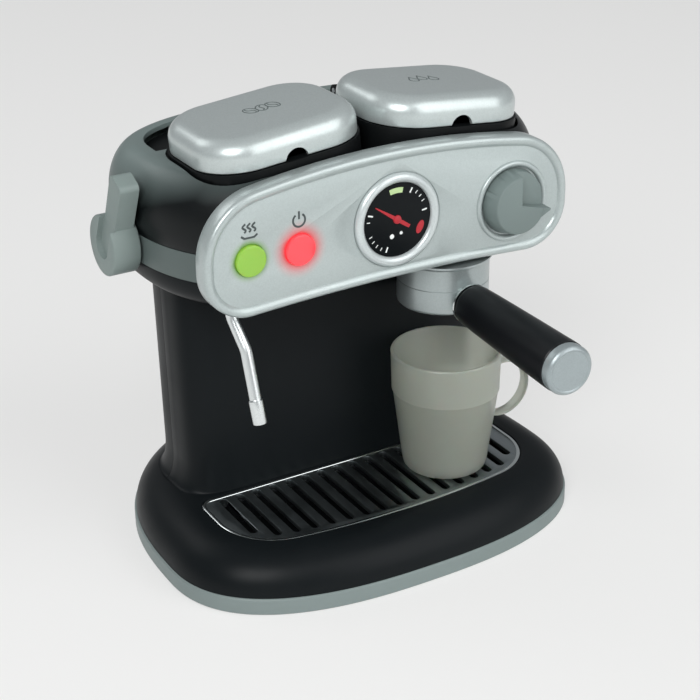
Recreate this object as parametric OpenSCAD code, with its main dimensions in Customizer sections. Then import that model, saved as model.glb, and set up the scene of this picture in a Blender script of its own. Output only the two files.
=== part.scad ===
// Toy coffee maker: a battery toy espresso machine with a drip tray, two lids, a turning
// crank, a brewing handle, a steam pipe and a cup.
// Frame: millimetres, +Z up, front towards -Y. The origin is on the resting face, under the
// middle of the base.

/* [Base] */
// Width of the base ring
base_w = 241; // [233:1:257]
// Distance from the origin to the front of the base
base_front = 98.5; // [96.5:0.5:108]
// Distance from the origin to the back of the base
base_back = 98.5; // [96.5:0.5:110]
// Where the base is widest, along Y
base_mid_y = -27; // [-32:1:-20]
// Height of the lower ring
ring_h = 9.5; // [8:0.5:11]
// Height of the deck that carries the drip grille
deck_z = 30; // [29:0.5:34]
// Ledge of the ring in front of the skirt
ring_ledge = 1; // [0.5:0.1:1.5]
// Horizontal reach of the rounded shoulder of the skirt
skirt_round = 22; // [18:1:23]
// Wall thickness of the moulded shells
wall = 2.4; // [2:0.1:2.6]

/* [Drip tray] */
// Width of the drip grille
grille_w = 186; // [176:1:188]
// Distance from the origin to the bowed front edge of the grille
grille_front = 71.5; // [66:0.5:73]
// Radius of the bowed front edge of the grille
grille_bow_r = 413; // [380:1:600]
// Radius of the front corners of the grille
grille_corner_r = 34; // [28:1:38]
// Thickness of the grille plate
grille_t = 3; // [2.4:0.1:3.6]
// Distance between neighbouring slots
slot_pitch = 10; // [8.5:0.5:12]
// Width of one slot
slot_w = 4.6; // [3:0.2:5]
// Number of slots
slot_count = 17; // [13:2:17]
// Depth of the drip pan below the deck
pan_depth = 18; // [12:0.5:20]

/* [Column] */
// Width of the column
column_w = 181.5; // [174:0.5:184]
// Front face of the column, along Y
column_front_y = -7.3; // [-7.3:0.1:-5]
// Back of the column, along Y
column_back_y = 70; // [64:1:71]
// Where the column is widest and its two halves meet, along Y
column_mid_y = 25; // [22:1:30]

/* [Head] */
// Width of the head
head_w = 224; // [220:1:228]
// Back of the head, along Y
head_back_y = 82; // [80:1:88]
// Front frame of the head, along Y
head_front_y = -50; // [-52:0.5:-49]
// Height of the underside of the head
under_z = 155; // [150:1:156]
// Height of the lower edge of the band
band_z = 169.2; // [168.6:0.2:170.4]
// Height of the band
band_h = 14.8; // [13.8:0.2:16]
// Height of the top of the head
head_top_z = 221; // [219:0.5:224]
// Radius of the rounded shoulder of the head
shoulder_r = 13; // [9:0.5:14]

/* [Front panel] */
// Width of the panel
panel_w = 211.4; // [206:0.2:216]
// Height of the arched lower edge in the middle
panel_low_z = 158.3; // [157.5:0.1:160]
// Radius of the arched lower edge
panel_low_arch_r = 1263; // [1100:1:1800]
// Radius of the lower corners
panel_low_r = 24; // [22:0.5:25]
// Height where the panel is widest
panel_mid_z = 185.3; // [184:0.1:187]
// Height of the arched upper edge in the middle
panel_top_z = 225.8; // [224:0.1:228]
// Radius of the arched upper edge
panel_arch_r = 454; // [430:1:520]
// Depth of the panel from its front bead to its back edge
panel_t = 10; // [9:0.5:12]
// Width of the raised bead around the panel
bead_w = 5.5; // [4:0.5:7]
// Height of the bead above the face of the panel
bead_h = 1.6; // [1:0.1:2]

/* [Controls] */
// Diameter of a push button
button_d = 16; // [14:0.5:18]
// Travel of a push button
button_travel = 2; // [1:0.1:2]
// Height of the centres of the push buttons
button_z = 185; // [183:0.5:187]
// Place of the green button along X
green_x = -81; // [-83:0.5:-80]
// Place of the red button along X
red_x = -54; // [-56:0.5:-53]
// Outer diameter of the gauge bezel
bezel_d = 50; // [48:0.5:52]
// Diameter of the gauge dial in sight
dial_d = 39.2; // [36:0.2:40]
// Place of the gauge along X
gauge_x = 1.4; // [-2:0.1:4]
// Height of the centre of the gauge
gauge_z = 189; // [187:0.5:191]
// Diameter of the turning knob at the panel
knob_d = 35.2; // [33:0.2:38]
// Diameter of the face of the knob
knob_face_d = 30.8; // [28:0.2:32]
// How far the knob stands out of the panel
knob_h = 9.5; // [9:0.5:14]
// Depth of the notch in the face of the knob
knob_notch = 6; // [3:0.5:6.5]
// Place of the knob along X
knob_x = 71; // [69:0.5:73]
// Height of the centre of the knob
knob_z = 185; // [183:0.5:187]

/* [Lids and containers] */
// Distance from the side of the head to a lid
lid_margin = 20; // [19:0.5:24]
// Distance between the two lids
lid_space = 6; // [6:0.5:9]
// Distance from the front of the head to the lids
lid_front = 3.5; // [3.5:0.5:8]
// Depth of a lid
lid_d = 70; // [64:0.5:70]
// Height of a lid
lid_h = 15.4; // [13:0.2:18]
// Corner radius of a lid seen from above
lid_corner_r = 25; // [20:0.5:28]
// Rounding of the upper edge of a lid
lid_edge_r = 9; // [6:0.5:10]
// Sideways slope of a lid, in degrees
lid_tilt = 5.6; // [4.6:0.2:6.6]
// Height of the underside of a lid at its centre
lid_z = 226.6; // [226:0.2:230]
// Depth of the bean box and of the water tank below the deck plate
box_depth = 20; // [14:1:22]

/* [Brewing] */
// Place of the brewing axis along X
brew_x = 45; // [43:0.5:47]
// Place of the brewing axis along Y
brew_y = -34.5; // [-35:0.5:-34]
// Diameter of the brewing head
brew_d = 49.2; // [46:0.2:50]
// Height of the lower face of the handle's bowl
bowl_z = 127.5; // [126:0.5:129]
// Height of the bowl
bowl_h = 13.4; // [13:0.1:15]
// Height of the handle's axis above the lower face of the bowl
handle_rise = 7.7; // [7.2:0.1:9]
// Length of the black grip
grip_l = 84.5; // [74:0.5:92]
// Diameter of the grip at its outer end
grip_d = 26.4; // [23:0.2:27]
// Length of the end cap
cap_l = 6; // [5:0.5:10]
// Angle of the handle seen from above
handle_turn = -3; // [-5:0.5:5]

/* [Steam pipe] */
// Place of the pipe's swivel along X
pipe_x = -80; // [-81:0.5:-76]
// Place of the pipe's swivel along Y
pipe_y = -32; // [-33:0.5:-30]
// Diameter of the pipe
pipe_d = 6; // [5:0.2:6.4]
// Height of the tip of the pipe
pipe_tip_z = 95; // [85:1:100]

/* [Crank] */
// Place of the crank axis along Y
crank_y = 13.5; // [12:0.5:16]
// Diameter of the crank's hub
crank_hub_d = 31.6; // [29:0.2:34]
// Thickness of the crank's hub without its dome
crank_t = 13.8; // [12:0.2:15]
// Length of the arm from the axis to its end
crank_arm = 42; // [36:1:46]
// Width of the arm
crank_arm_w = 13; // [12:0.5:15]
// Forward lean of the arm, in degrees
crank_lean = 24; // [10:1:40]

/* [Cup] */
// Outer diameter of the cup's rim
cup_d = 60; // [54:0.5:60]
// Height of the cup
cup_h = 69; // [62:0.5:72]
// Outer diameter of the cup's foot
cup_foot_d = 46; // [40:0.5:48]
// Wall thickness of the cup
cup_wall = 2; // [1.6:0.1:2.4]

/* [Hidden] */

RING_N = 72;              // points around an oval outline
E = 0.01;                 // overshoot of a cut
fit = 0.06;               // radial clearance of a turning fit
slip = 0.3;               // gap between two pieces that are taken apart or slide
seat = 0.1;               // gap between two fixed pieces that nest
oval_n = 2.5;             // exponent of the rounded oval outlines
$fn = 72;

skirt_d = ring_ledge + skirt_round;
well_wall = 2;
well_ledge = 4;
flange_t = 2.2;
flange_z = deck_z - grille_t - flange_t;
pan_z = deck_z - pan_depth;
slot_back_y = column_front_y - 6;
grille_back_y = column_front_y - 0.6;
grille_back_r = 8;

lid_w = head_w / 2 - lid_margin - lid_space / 2;
lid_x = (lid_w + lid_space) / 2;
lid_y = head_front_y + lid_front + lid_d / 2;
collar_out = 1;           // how far the collar under a lid stands out past the lid

band_top_z = band_z + band_h;
head_mid_y = 20;
head_nose_y = -75;
deck_t = 2.5;
deck_drop = 5;
deck_top_z = head_top_z - deck_drop;
deck_gap = 0.8;           // web between a collar and the side of the deck's opening
deck_front_web = 1;       // web of the shell in front of the deck
deck_back_web = 6;        // flat of the shell behind the deck
scoop_in = 8;             // how far the wide part of the opening reaches forward past the lids' backs
deck_half_w = head_w / 2 - lid_margin + collar_out + slip + deck_gap;
deck_back_y = head_back_y - shoulder_r - deck_back_web;
deck_front_y = head_front_y + deck_front_web;
rest_ring = 3;
shell_in = 0.6;
shell_swell = 2.1;
shell_reach = shoulder_r + shell_swell;
shell_mid_z = band_top_z + (head_top_z - band_top_z) * 0.32;

panel_y = head_front_y - panel_t;
panel_face_y = panel_y + bead_h;
panel_skin = 2.4;
panel_up_r = upper_r(panel_w / 2, panel_top_z - panel_arch_r - panel_mid_z, panel_arch_r);
frame_t = 2;
stem_in = 6;
notch_from = -15;         // direction of the knob's pointer, where its notch begins
pointer_w = 8;
pointer_out = 2.2;        // how far the pointer stands out of the knob's widest circle
knob_seat = 0.4;          // gap round the knob in its seat in the panel
panel_screw_at = [for (x = [-34, 37]) for (z = [panel_low_z + 10, panel_top_z - 19]) [x, z]];

column_flare = 2;

screw_r = 1.5;
screw_bite = 0.2;         // how far a screw's thread stands out of its hole
screw_head_r = 3;
screw_head_h = 1;
screw_seat_z = 0.2;       // height of the flat of the screw heads in the base
base_screw_in = 0.78 * skirt_d;
base_screw_l = 14;
base_screw_at = [for (t = [-90, 0, 180, 50, 130]) oval_point(base_w / 2 - base_screw_in,
  base_screw_in - base_front, base_back - base_screw_in, base_mid_y, t)];
back_screw_x = 50;
back_screw_in = 12;       // depth of a back screw in its front boss
back_screw_web = 6;       // plastic under the head of a back screw
back_screw_head_h = 2;
back_boss_r = 5.6;
back_screw_z = [under_z - 105, under_z - 15];

cell_r = 7.1;
cell_l = 50.5;
cell_pitch = 15;
cell_count = 3;
battery_x = -10;
battery_y = 33;
battery_w = cell_l + 12;
battery_d = cell_pitch * cell_count + 12;
battery_roof = 2;
cell_lift = 0.2;          // gap between a cell and the door or the roof of the battery box
battery_h = 2 * (cell_r + cell_lift) + battery_roof;
cell_back = 2.2;          // how far the cells sit in front of the middle, clear of the door's screw
boss_r = 3.4;
door_edge = 1.6;          // web of the battery door outside its screw's head
door_screw_y = battery_y + battery_d / 2 - screw_head_r - door_edge;
door_tongue_x = 16;
tongue_w = 8;
tongue_t = 1.6;
tongue_reach = 1.3;
speaker_at = [66, 22];
speaker_r = 18;
speaker_h = 9;

collar_w = lid_w + 2 * collar_out;
collar_d = lid_d + 2 * collar_out;
box_w = lid_w - 7;
box_d = lid_d - 6;
box_wall = 2;
box_corner_r = 12;
box_floor_z = deck_top_z - box_depth;
lid_wall = 2.2;
lid_gap = 0.3;
hinge_v = lid_d / 2 + 4.4;
hinge_w = 1.6;
hinge_r = 3.2;
pin_r = 1.4;
ear_out = 2.5;            // how far an ear's middle lies past the straight back of the lid
ear_u = lid_w / 2 - lid_corner_r + ear_out;
ear_w = 10;
lug_w = 5;
lug_gap = 0.5;
lug_u = ear_u + ear_w / 2 + lug_gap + lug_w / 2;
notch_r = 6.4;

brew_r = brew_d / 2;
bowl_top_z = bowl_z + bowl_h;
bowl_wall = 1.6;
bowl_floor = 2;
spigot_r = brew_r - 4.6;
lip_t = 2.4;
tab_t = 3;
tab_z = bowl_top_z - lip_t - slip - tab_t;
handle_z = bowl_z + handle_rise;
collar_l = 4;
grip_start = brew_r + 1 + collar_l;
tang_r = 4.4;

pipe_bend_1 = [pipe_x, pipe_y, under_z - 8];
pipe_bend_2 = [pipe_x + 3, pipe_y - 10, under_z - 25];
pipe_end = [pipe_x + 4, pipe_y - 20, pipe_tip_z];
tip_l = 13;
tip_r = pipe_d / 2 + 1;

crank_z = band_z + band_h / 2 + 1.4;
crank_x = -(head_w / 2 + 0.8);
shaft_r = 3;
bushing_r = 5;
wheel_r = 11;
wheel_t = 5;
crank_step = 2;           // how far the arm's outer face lies behind the hub's
crank_dome = 0.8;         // rounding of the hub's outer edge
step_side = 0.5;          // how much wider the step in the hub is than the arm, at each side
crank_skin = 1.2;         // plastic of the hub over the end of the shaft
leaf_t = 1.2;
wheel_x = -(head_w / 2 - 13);

cup_x = brew_x;
cup_y = column_front_y - cup_d / 2 - 1.2;
cup_z = deck_z + slip;
cup_loop_r = 17.6;
cup_loop_w = 3.5;

// ---- outlines -------------------------------------------------------------------------

function bulge(v, n) = sign(v) * pow(abs(v), 2 / n);

// Point of a rounded oval between a front and a back end, widest at mid
function oval_point(half_w, front, back, mid, t, n_front = oval_n, n_back = oval_n) =
  let (n = sin(t) < 0 ? n_front : n_back)
  [half_w * bulge(cos(t), n), mid + (sin(t) < 0 ? mid - front : back - mid) * bulge(sin(t), n)];

function oval(half_w, front, back, mid, n_front = oval_n, n_back = oval_n) = [
  for (i = [0 : RING_N - 1])
    oval_point(half_w, front, back, mid, 360 * (i + 0.5) / RING_N, n_front, n_back)
];

function base_oval(d) = oval(base_w / 2 - d, d - base_front, base_back - d, base_mid_y);

function column_oval(d, flare = 0) = oval(column_w / 2 + flare - d, column_front_y + d,
  column_back_y + flare / 2 - d, column_mid_y, 5, oval_n);

function head_oval(d) = oval(head_w / 2 - d, head_nose_y + d, head_back_y - d, head_mid_y);

// Opening of the upper shell over the deck: close round the containers' collars, and wide behind them
module opening_2d() {
  gap = slip + deck_gap;
  for (s = [-1, 1]) translate([s * lid_x, lid_y])
    rounded_2d(collar_w + 2 * gap, collar_d + 2 * gap, lid_corner_r + collar_out + gap);
  translate([-lid_x, lid_y - collar_d / 2 - gap]) square([2 * lid_x, collar_d]);
  intersection() {
    polygon(deck_oval(-seat));
    translate([-head_w / 2, lid_y + lid_d / 2 - scoop_in]) square(head_w);
  }
}

function deck_oval(d) = oval(deck_half_w - d, deck_front_y + d, deck_back_y - d, head_mid_y, 9, 2.75);

// Radius of the circle that is upright at half_w and touches the arch from inside
function upper_r(half_w, drop, arch) =
  (arch * arch - half_w * half_w - drop * drop) / (2 * (arch - half_w));

// Solid through a stack of outlines, each given as [outline, height]
module loft(rings) {
  n = len(rings[0][0]);
  points = [for (r = rings) for (p = r[0]) [p[0], p[1], r[1]]];
  sides = [
    for (k = [0 : len(rings) - 2]) for (i = [0 : n - 1])
      let (j = (i + 1) % n)
      [k * n + i, (k + 1) * n + i, (k + 1) * n + j, k * n + j]
  ];
  bottom = [for (i = [0 : n - 1]) i];
  top = [for (i = [n - 1 : -1 : 0]) (len(rings) - 1) * n + i];
  polyhedron(points, concat(sides, [bottom, top]), convexity = 6);
}

module slab(outline, z0, z1) {
  translate([0, 0, z0]) linear_extrude(z1 - z0) polygon(outline);
}

module ring_slab(outer, inner, z0, z1) {
  translate([0, 0, z0]) linear_extrude(z1 - z0) difference() {
    polygon(outer);
    polygon(inner);
  }
}

// Outline of the drip grille, drawn in by d
module grille_2d(d = 0) {
  half_w = grille_w / 2 - d;
  corner = grille_corner_r - d;
  back_r = max(grille_back_r - d, 1);
  back = grille_back_y - d;
  bow = grille_bow_r - d;
  bow_y = grille_bow_r - grille_front;
  reach = sqrt(pow(bow - corner, 2) - pow(half_w - corner, 2));
  corner_y = bow_y - reach;
  touch_x = (half_w - corner) * bow / (bow - corner);
  intersection() {
    translate([0, bow_y]) circle(bow, $fn = 720);
    translate([-touch_x, bow_y - bow - 1]) square([2 * touch_x, back - back_r - bow_y + bow + 1]);
  }
  for (s = [-1, 1]) {
    intersection() {
      translate([s * (half_w - corner), corner_y]) circle(corner, $fn = 144);
      translate([-grille_w, corner_y - grille_w + E]) square([2 * grille_w, grille_w]);
    }
    translate([s * (half_w - back_r), back - back_r]) circle(back_r);
    translate([s > 0 ? half_w - corner : -half_w, corner_y])
      square([corner, back - back_r - corner_y]);
  }
  translate([-(half_w - back_r), back - back_r - 1]) square([2 * (half_w - back_r), back_r + 1]);
}

// Outline of the front panel in X and Z, drawn in by d
module panel_2d(d = 0) {
  half_w = panel_w / 2 - d;
  low_r = panel_low_r - d;
  up_r = panel_up_r - d;
  arch = panel_arch_r - d;
  arch_z = panel_top_z - panel_arch_r;
  low_arch = panel_low_arch_r + d;
  low_arch_z = panel_low_z - panel_low_arch_r;
  low_x = half_w - low_r;
  low_z = low_arch_z + sqrt(pow(panel_low_arch_r + panel_low_r, 2) - low_x * low_x);
  touch = low_arch / (panel_low_arch_r + panel_low_r);
  touch_x = (half_w - up_r) * arch / (arch - up_r);
  intersection() {
    translate([0, arch_z]) circle(arch, $fn = 720);
    translate([-touch_x, panel_mid_z]) square([2 * touch_x, panel_top_z]);
  }
  for (s = [-1, 1]) {
    intersection() {
      translate([s * (half_w - up_r), panel_mid_z]) circle(up_r, $fn = 144);
      translate([-panel_w, panel_mid_z - 1]) square(2 * panel_w);
    }
    translate([s * low_x, low_z]) circle(low_r, $fn = 144);
    translate([s > 0 ? low_x : -half_w, low_z]) square([low_r, panel_mid_z - low_z]);
  }
  difference() {
    polygon([
      [-low_x, panel_mid_z + 0.5], [-low_x, low_z],
      [-low_x * touch, low_arch_z + (low_z - low_arch_z) * touch],
      [low_x * touch, low_arch_z + (low_z - low_arch_z) * touch],
      [low_x, low_z], [low_x, panel_mid_z + 0.5]
    ]);
    translate([0, low_arch_z]) circle(low_arch, $fn = 720);
  }
}

// A flat shape in X and Z, made solid from y0 back to y1
module upright(y0, y1) {
  translate([0, y1, 0]) rotate([90, 0, 0]) linear_extrude(y1 - y0) children();
}

module disc_y(x, z, r, y0, y1) {
  translate([x, y1, z]) rotate([90, 0, 0]) cylinder(r = r, h = y1 - y0);
}

module rounded_2d(w, d, r) {
  square([w - 2 * r, d], center = true);
  square([w, d - 2 * r], center = true);
  for (x = [-1, 1]) for (y = [-1, 1]) translate([x * (w / 2 - r), y * (d / 2 - r)]) circle(r);
}

// Block with rounded corners and a rounded upper edge
module soft_slab(w, d, h, corner, edge) {
  linear_extrude(h - edge) rounded_2d(w, d, corner);
  translate([0, 0, h - edge - E]) linear_extrude(edge + E)
    rounded_2d(w - 2 * edge, d - 2 * edge, corner - edge);
  translate([0, 0, h - edge]) {
    for (x = [-1, 1]) for (y = [-1, 1]) translate([x * (w / 2 - corner), y * (d / 2 - corner), 0])
      intersection() {
        rotate_extrude() translate([corner - edge, 0]) intersection() {
          circle(edge);
          square(edge);
        }
        translate([x > 0 ? 0 : -corner, y > 0 ? 0 : -corner, 0]) cube(corner);
      }
    for (x = [-1, 1]) intersection() {
      translate([x * (w / 2 - edge), 0, 0]) rotate([90, 0, 0])
        cylinder(r = edge, h = d - 2 * corner, center = true);
      translate([x > 0 ? w / 2 - edge : -w / 2, -d / 2, 0]) cube([edge, d, edge]);
    }
    for (y = [-1, 1]) intersection() {
      translate([0, y * (d / 2 - edge), 0]) rotate([0, 90, 0])
        cylinder(r = edge, h = w - 2 * corner, center = true);
      translate([-w / 2, y > 0 ? d / 2 - edge : -d / 2, 0]) cube([w, edge, edge]);
    }
  }
}

// ---- base -------------------------------------------------------------------------------

module base_tray() {
  color("#8d9897") difference() {
    union() {
      slab(base_oval(0), 0, wall);
      ring_slab(base_oval(0), base_oval(wall), wall - E, ring_h);
      ring_slab(base_oval(0), base_oval(wall + ring_ledge + 2), ring_h - wall, ring_h);
    }
    for (p = base_screw_at) translate([p[0], p[1], -E]) {
      cylinder(r = screw_r + screw_bite, h = wall + 1);
      cylinder(r = screw_head_r + screw_bite, h = screw_seat_z + screw_head_h + 2 * E);
    }
    translate([battery_x, battery_y, -E]) linear_extrude(wall + 1)
      rounded_2d(battery_w, battery_d, 3);
    for (a = [0 : 60 : 300]) translate([speaker_at[0] + 9 * cos(a), speaker_at[1] + 9 * sin(a), -E])
      cylinder(r = 1.5, h = wall + 1);
    translate([speaker_at[0], speaker_at[1], -E]) cylinder(r = 1.5, h = wall + 1);
  }
}

module base_skirt() {
  rise = deck_z - ring_h;
  steps = [0 : 15 : 90];
  outer = [for (q = steps)
    [base_oval(ring_ledge + skirt_round * (1 - cos(q))), ring_h + rise * sin(q)]];
  inner = concat([[base_oval(ring_ledge + wall), ring_h - 1]],
    [for (q = steps) [base_oval(ring_ledge + wall + skirt_round * (1 - cos(q))),
      ring_h + (rise - wall) * sin(q)]]);
  color("#22282a") difference() {
    union() {
      difference() {
        loft(outer);
        loft(inner);
      }
      translate([0, 0, flange_z - well_wall]) linear_extrude(deck_z - flange_z + well_wall - 1)
        difference() {
          grille_2d(-slip - well_wall);
          grille_2d(well_ledge);
        }
      for (p = base_screw_at) translate([p[0], p[1], wall]) cylinder(r = 4, h = deck_z - 2 * wall - slip);
    }
    translate([0, 0, flange_z]) linear_extrude(deck_z) grille_2d(-slip);
    for (p = base_screw_at) translate([p[0], p[1], 0]) cylinder(r = screw_r - screw_bite, h = 20);
    translate([0, column_mid_y, deck_z - 2 * wall]) cylinder(r = 15, h = 3 * wall);
  }
}

module base_screws() {
  color("#b9bdbd") for (p = base_screw_at) translate([p[0], p[1], 0]) {
    translate([0, 0, screw_seat_z]) cylinder(r = screw_head_r, h = screw_head_h);
    translate([0, 0, screw_head_h]) cylinder(r = screw_r - screw_bite, h = base_screw_l);
  }
}

module battery_box() {
  color("#2b3032") difference() {
    union() {
      translate([battery_x, battery_y, 0]) difference() {
        translate([0, 0, wall]) linear_extrude(battery_h)
          rounded_2d(battery_w + 4, battery_d + 4, 4);
        translate([0, 0, wall - 1]) linear_extrude(battery_h + 1 - battery_roof)
          rounded_2d(battery_w, battery_d, 3);
      }
      translate([battery_x, door_screw_y, wall]) cylinder(r = boss_r, h = battery_h - 1);
    }
    translate([battery_x, door_screw_y, wall - 1]) cylinder(r = screw_r - screw_bite, h = 9);
    for (s = [-1, 1]) translate([battery_x + s * door_tongue_x - tongue_w / 2 - slip,
      battery_y - battery_d / 2 - tongue_reach - slip, wall - E])
      cube([tongue_w + 2 * slip, 3, tongue_t]);
  }
}

module battery_cells() {
  color("#5b7d92") for (i = [0 : cell_count - 1])
    translate([battery_x - cell_l / 2, battery_y - cell_back + (i - (cell_count - 1) / 2) * cell_pitch,
      wall + cell_r + cell_lift])
      rotate([0, 90, 0]) {
        cylinder(r = cell_r, h = cell_l - 1.2);
        cylinder(r = 2.6, h = cell_l);
      }
}

module battery_door() {
  door_z = 0.2;
  color("#8d9897") difference() {
    union() {
      translate([battery_x, battery_y, door_z]) linear_extrude(wall - door_z)
        rounded_2d(battery_w - 2 * slip, battery_d - 2 * slip, 2.8);
      for (s = [-1, 1]) translate([battery_x + s * door_tongue_x - tongue_w / 2,
        battery_y - battery_d / 2 - tongue_reach, wall - 0.4])
        cube([tongue_w, tongue_reach + 2, tongue_t]);
    }
    for (s = [-1, 1]) translate([battery_x + s * door_tongue_x - tongue_w / 2 - 1,
      battery_y - battery_d / 2 - 2, door_z - 1])
      cube([tongue_w + 2, 2 + slip, wall - door_z + 1]);
    translate([battery_x, door_screw_y, 0]) cylinder(r = screw_r + screw_bite, h = 8);
    translate([battery_x, door_screw_y, 0])
      cylinder(r = screw_head_r + screw_bite, h = 2 * screw_seat_z + screw_head_h);
  }
}

module door_screw() {
  color("#b9bdbd") translate([battery_x, door_screw_y, 0]) {
    translate([0, 0, 2 * screw_seat_z]) cylinder(r = screw_head_r, h = screw_head_h);
    translate([0, 0, screw_head_h]) cylinder(r = screw_r - screw_bite, h = 8);
  }
}

module speaker() {
  color("#3a3f41") translate([speaker_at[0], speaker_at[1], wall]) difference() {
    union() {
      cylinder(r = speaker_r, h = 3);
      cylinder(r = speaker_r * 0.6, h = speaker_h);
    }
    translate([0, 0, -E]) cylinder(r = speaker_r - 3, h = 1.2);
  }
}

// ---- drip tray --------------------------------------------------------------------------

module drip_tray() {
  color("#1d2123") difference() {
    union() {
      translate([0, 0, flange_z + seat]) linear_extrude(flange_t - seat) grille_2d(0);
      translate([0, 0, pan_z]) linear_extrude(flange_z - pan_z + 1) grille_2d(well_ledge + slip);
    }
    translate([0, 0, pan_z + 2]) linear_extrude(deck_z) grille_2d(well_ledge + slip + 2);
  }
}

module grille_slot(x) {
  half_w = grille_w / 2 - 8;
  bow_y = grille_bow_r - grille_front;
  corner = grille_corner_r - 8;
  corner_x = half_w - corner;
  reach = sqrt(pow(grille_bow_r - 8 - corner, 2) - pow(corner_x, 2));
  front = abs(x) < corner_x ? bow_y - sqrt(pow(grille_bow_r - 8, 2) - x * x)
    : bow_y - reach - sqrt(max(pow(corner, 2) - pow(abs(x) - corner_x, 2), 0));
  translate([x - slot_w / 2, front]) square([slot_w, slot_back_y - front]);
  translate([x, front]) circle(slot_w / 2);
  translate([x, slot_back_y]) circle(slot_w / 2);
}

module drip_grille() {
  color("#9aa1a2") translate([0, 0, deck_z - grille_t]) linear_extrude(grille_t) difference() {
    grille_2d(0);
    for (i = [0 : slot_count - 1]) grille_slot((i - (slot_count - 1) / 2) * slot_pitch);
  }
}

// ---- column -----------------------------------------------------------------------------

module column_shell() {
  flare_h = 16;
  flare = 5;
  feet = [for (q = [0 : 30 : 90])
    [column_oval(0, flare * (1 - sin(q))), deck_z + flare_h * (1 - cos(q))]];
  difference() {
    loft(concat(feet, [[column_oval(0, column_flare), under_z]]));
    slab(column_oval(wall), deck_z - 1, under_z + 1);
  }
}

module column_half(front) {
  keep_y = front ? -200 : column_mid_y + seat;
  intersection() {
    column_shell();
    translate([-200, keep_y, 0]) cube([400, front ? 200 + column_mid_y : 200, 300]);
  }
}

module column_front() {
  color("#1f2527") difference() {
    union() {
      column_half(true);
      for (x = [-1, 1]) for (z = back_screw_z)
        disc_y(x * back_screw_x, z, 4, column_front_y + 1, column_mid_y);
    }
    for (x = [-1, 1]) for (z = back_screw_z)
      disc_y(x * back_screw_x, z, screw_r - screw_bite, column_front_y + 6, column_mid_y + 1);
  }
}

module column_back() {
  color("#22282a") difference() {
    union() {
      column_half(false);
      for (x = [-1, 1]) for (z = back_screw_z) intersection() {
        disc_y(x * back_screw_x, z, back_boss_r, column_mid_y + seat, column_back_y);
        slab(column_oval(0.5), deck_z, under_z);
      }
    }
    for (x = [-1, 1]) for (z = back_screw_z) {
      disc_y(x * back_screw_x, z, screw_r + screw_bite, column_mid_y - 1, column_back_y + 1);
      disc_y(x * back_screw_x, z, screw_head_r + 0.4, column_mid_y + back_screw_web, column_back_y + 1);
    }
  }
}

module back_screws() {
  color("#b9bdbd") for (x = [-1, 1]) for (z = back_screw_z) {
    disc_y(x * back_screw_x, z, screw_r - screw_bite, column_mid_y - back_screw_in,
      column_mid_y + back_screw_web + back_screw_head_h / 2);
    disc_y(x * back_screw_x, z, screw_head_r, column_mid_y + back_screw_web,
      column_mid_y + back_screw_web + back_screw_head_h);
  }
}

// ---- head -------------------------------------------------------------------------------

module behind_panel() {
  intersection() {
    children();
    translate([-200, head_front_y, 0]) cube([400, 400, 400]);
  }
}

module head_lower() {
  rise = band_z - under_z;
  steps = [0 : 30 : 90];
  outer = [for (q = steps) [head_oval(1 + 8 * (1 - sin(q))), under_z + rise * (1 - cos(q))]];
  inner = [for (q = steps) [head_oval(1 + wall + 8 * (1 - sin(q))),
    under_z + wall + (rise - wall + 0.5) * (1 - cos(q))]];
  color("#1b2022") difference() {
    behind_panel() difference() {
      loft(outer);
      loft(inner);
    }
    translate([0, column_mid_y, under_z - 1]) cylinder(r = 20, h = wall + 2);
    translate([brew_x, brew_y, under_z - 1]) cylinder(r = 12, h = wall + 2);
    translate([pipe_x, pipe_y, under_z - 1]) cylinder(r = 4.2, h = wall + 2);
  }
}

module head_band() {
  color("#6f7b79") difference() {
    behind_panel() ring_slab(head_oval(0), head_oval(1 + wall), band_z, band_top_z);
    translate([-head_w, crank_y, crank_z]) rotate([0, 90, 0]) cylinder(r = bushing_r, h = head_w);
  }
}

// Ring of the upper shell: it swells a little above its lower edge, then rounds over the top
function shell_ring(q, thick) = [
  head_oval(shell_in - shell_swell + thick + shell_reach * (1 - cos(q))),
  shell_mid_z + (head_top_z - thick - shell_mid_z) * sin(q)
];

module head_shell() {
  q0 = -asin((shell_mid_z - band_top_z) / (head_top_z - shell_mid_z));
  steps = [q0, q0 / 2, 0, 15, 30, 45, 60, 75, 90];
  color("#4a5453") difference() {
    union() {
      behind_panel() difference() {
        loft([for (q = steps) shell_ring(q, 0)]);
        loft(concat([[head_oval(shell_in + wall), band_top_z - 1]],
          [for (q = [0, 15, 30, 45, 60, 75, 90]) shell_ring(q, wall)]));
      }
      behind_panel() ring_slab(deck_oval(-well_wall), deck_oval(rest_ring),
        deck_top_z - deck_t - well_wall, head_top_z - wall + E);
    }
    slab(deck_oval(-seat), deck_top_z - deck_t, head_top_z - wall);
    translate([0, 0, deck_top_z - deck_t]) linear_extrude(head_top_z) opening_2d();
    for (s = [-1, 1]) translate([s * lid_x, lid_y, box_floor_z]) linear_extrude(box_depth)
      rounded_2d(box_w + 2 * seat, box_d + 2 * seat, box_corner_r);
    along_crank(crank_x + slip) cylinder(r = crank_hub_d / 2 + slip, h = crank_t);
  }
}

module head_deck() {
  color("#14181a") difference() {
    slab(deck_oval(seat), deck_top_z - deck_t, deck_top_z);
    for (s = [-1, 1]) translate([s * lid_x, lid_y, deck_top_z - deck_t - 1])
      linear_extrude(deck_t + 2) rounded_2d(box_w + 2 * seat, box_d + 2 * seat, box_corner_r);
  }
}

module front_frame() {
  color("#14181a") upright(head_front_y - frame_t, head_front_y) difference() {
    panel_2d(panel_skin + seat);
    for (x = [green_x, red_x]) translate([x + stem_in, button_z]) circle(3);
    translate([knob_x, knob_z]) circle(shaft_r + 0.4);
    for (p = panel_screw_at) translate(p) circle(screw_r + screw_bite);
  }
}

// ---- front panel and its controls ---------------------------------------------------------

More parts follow.
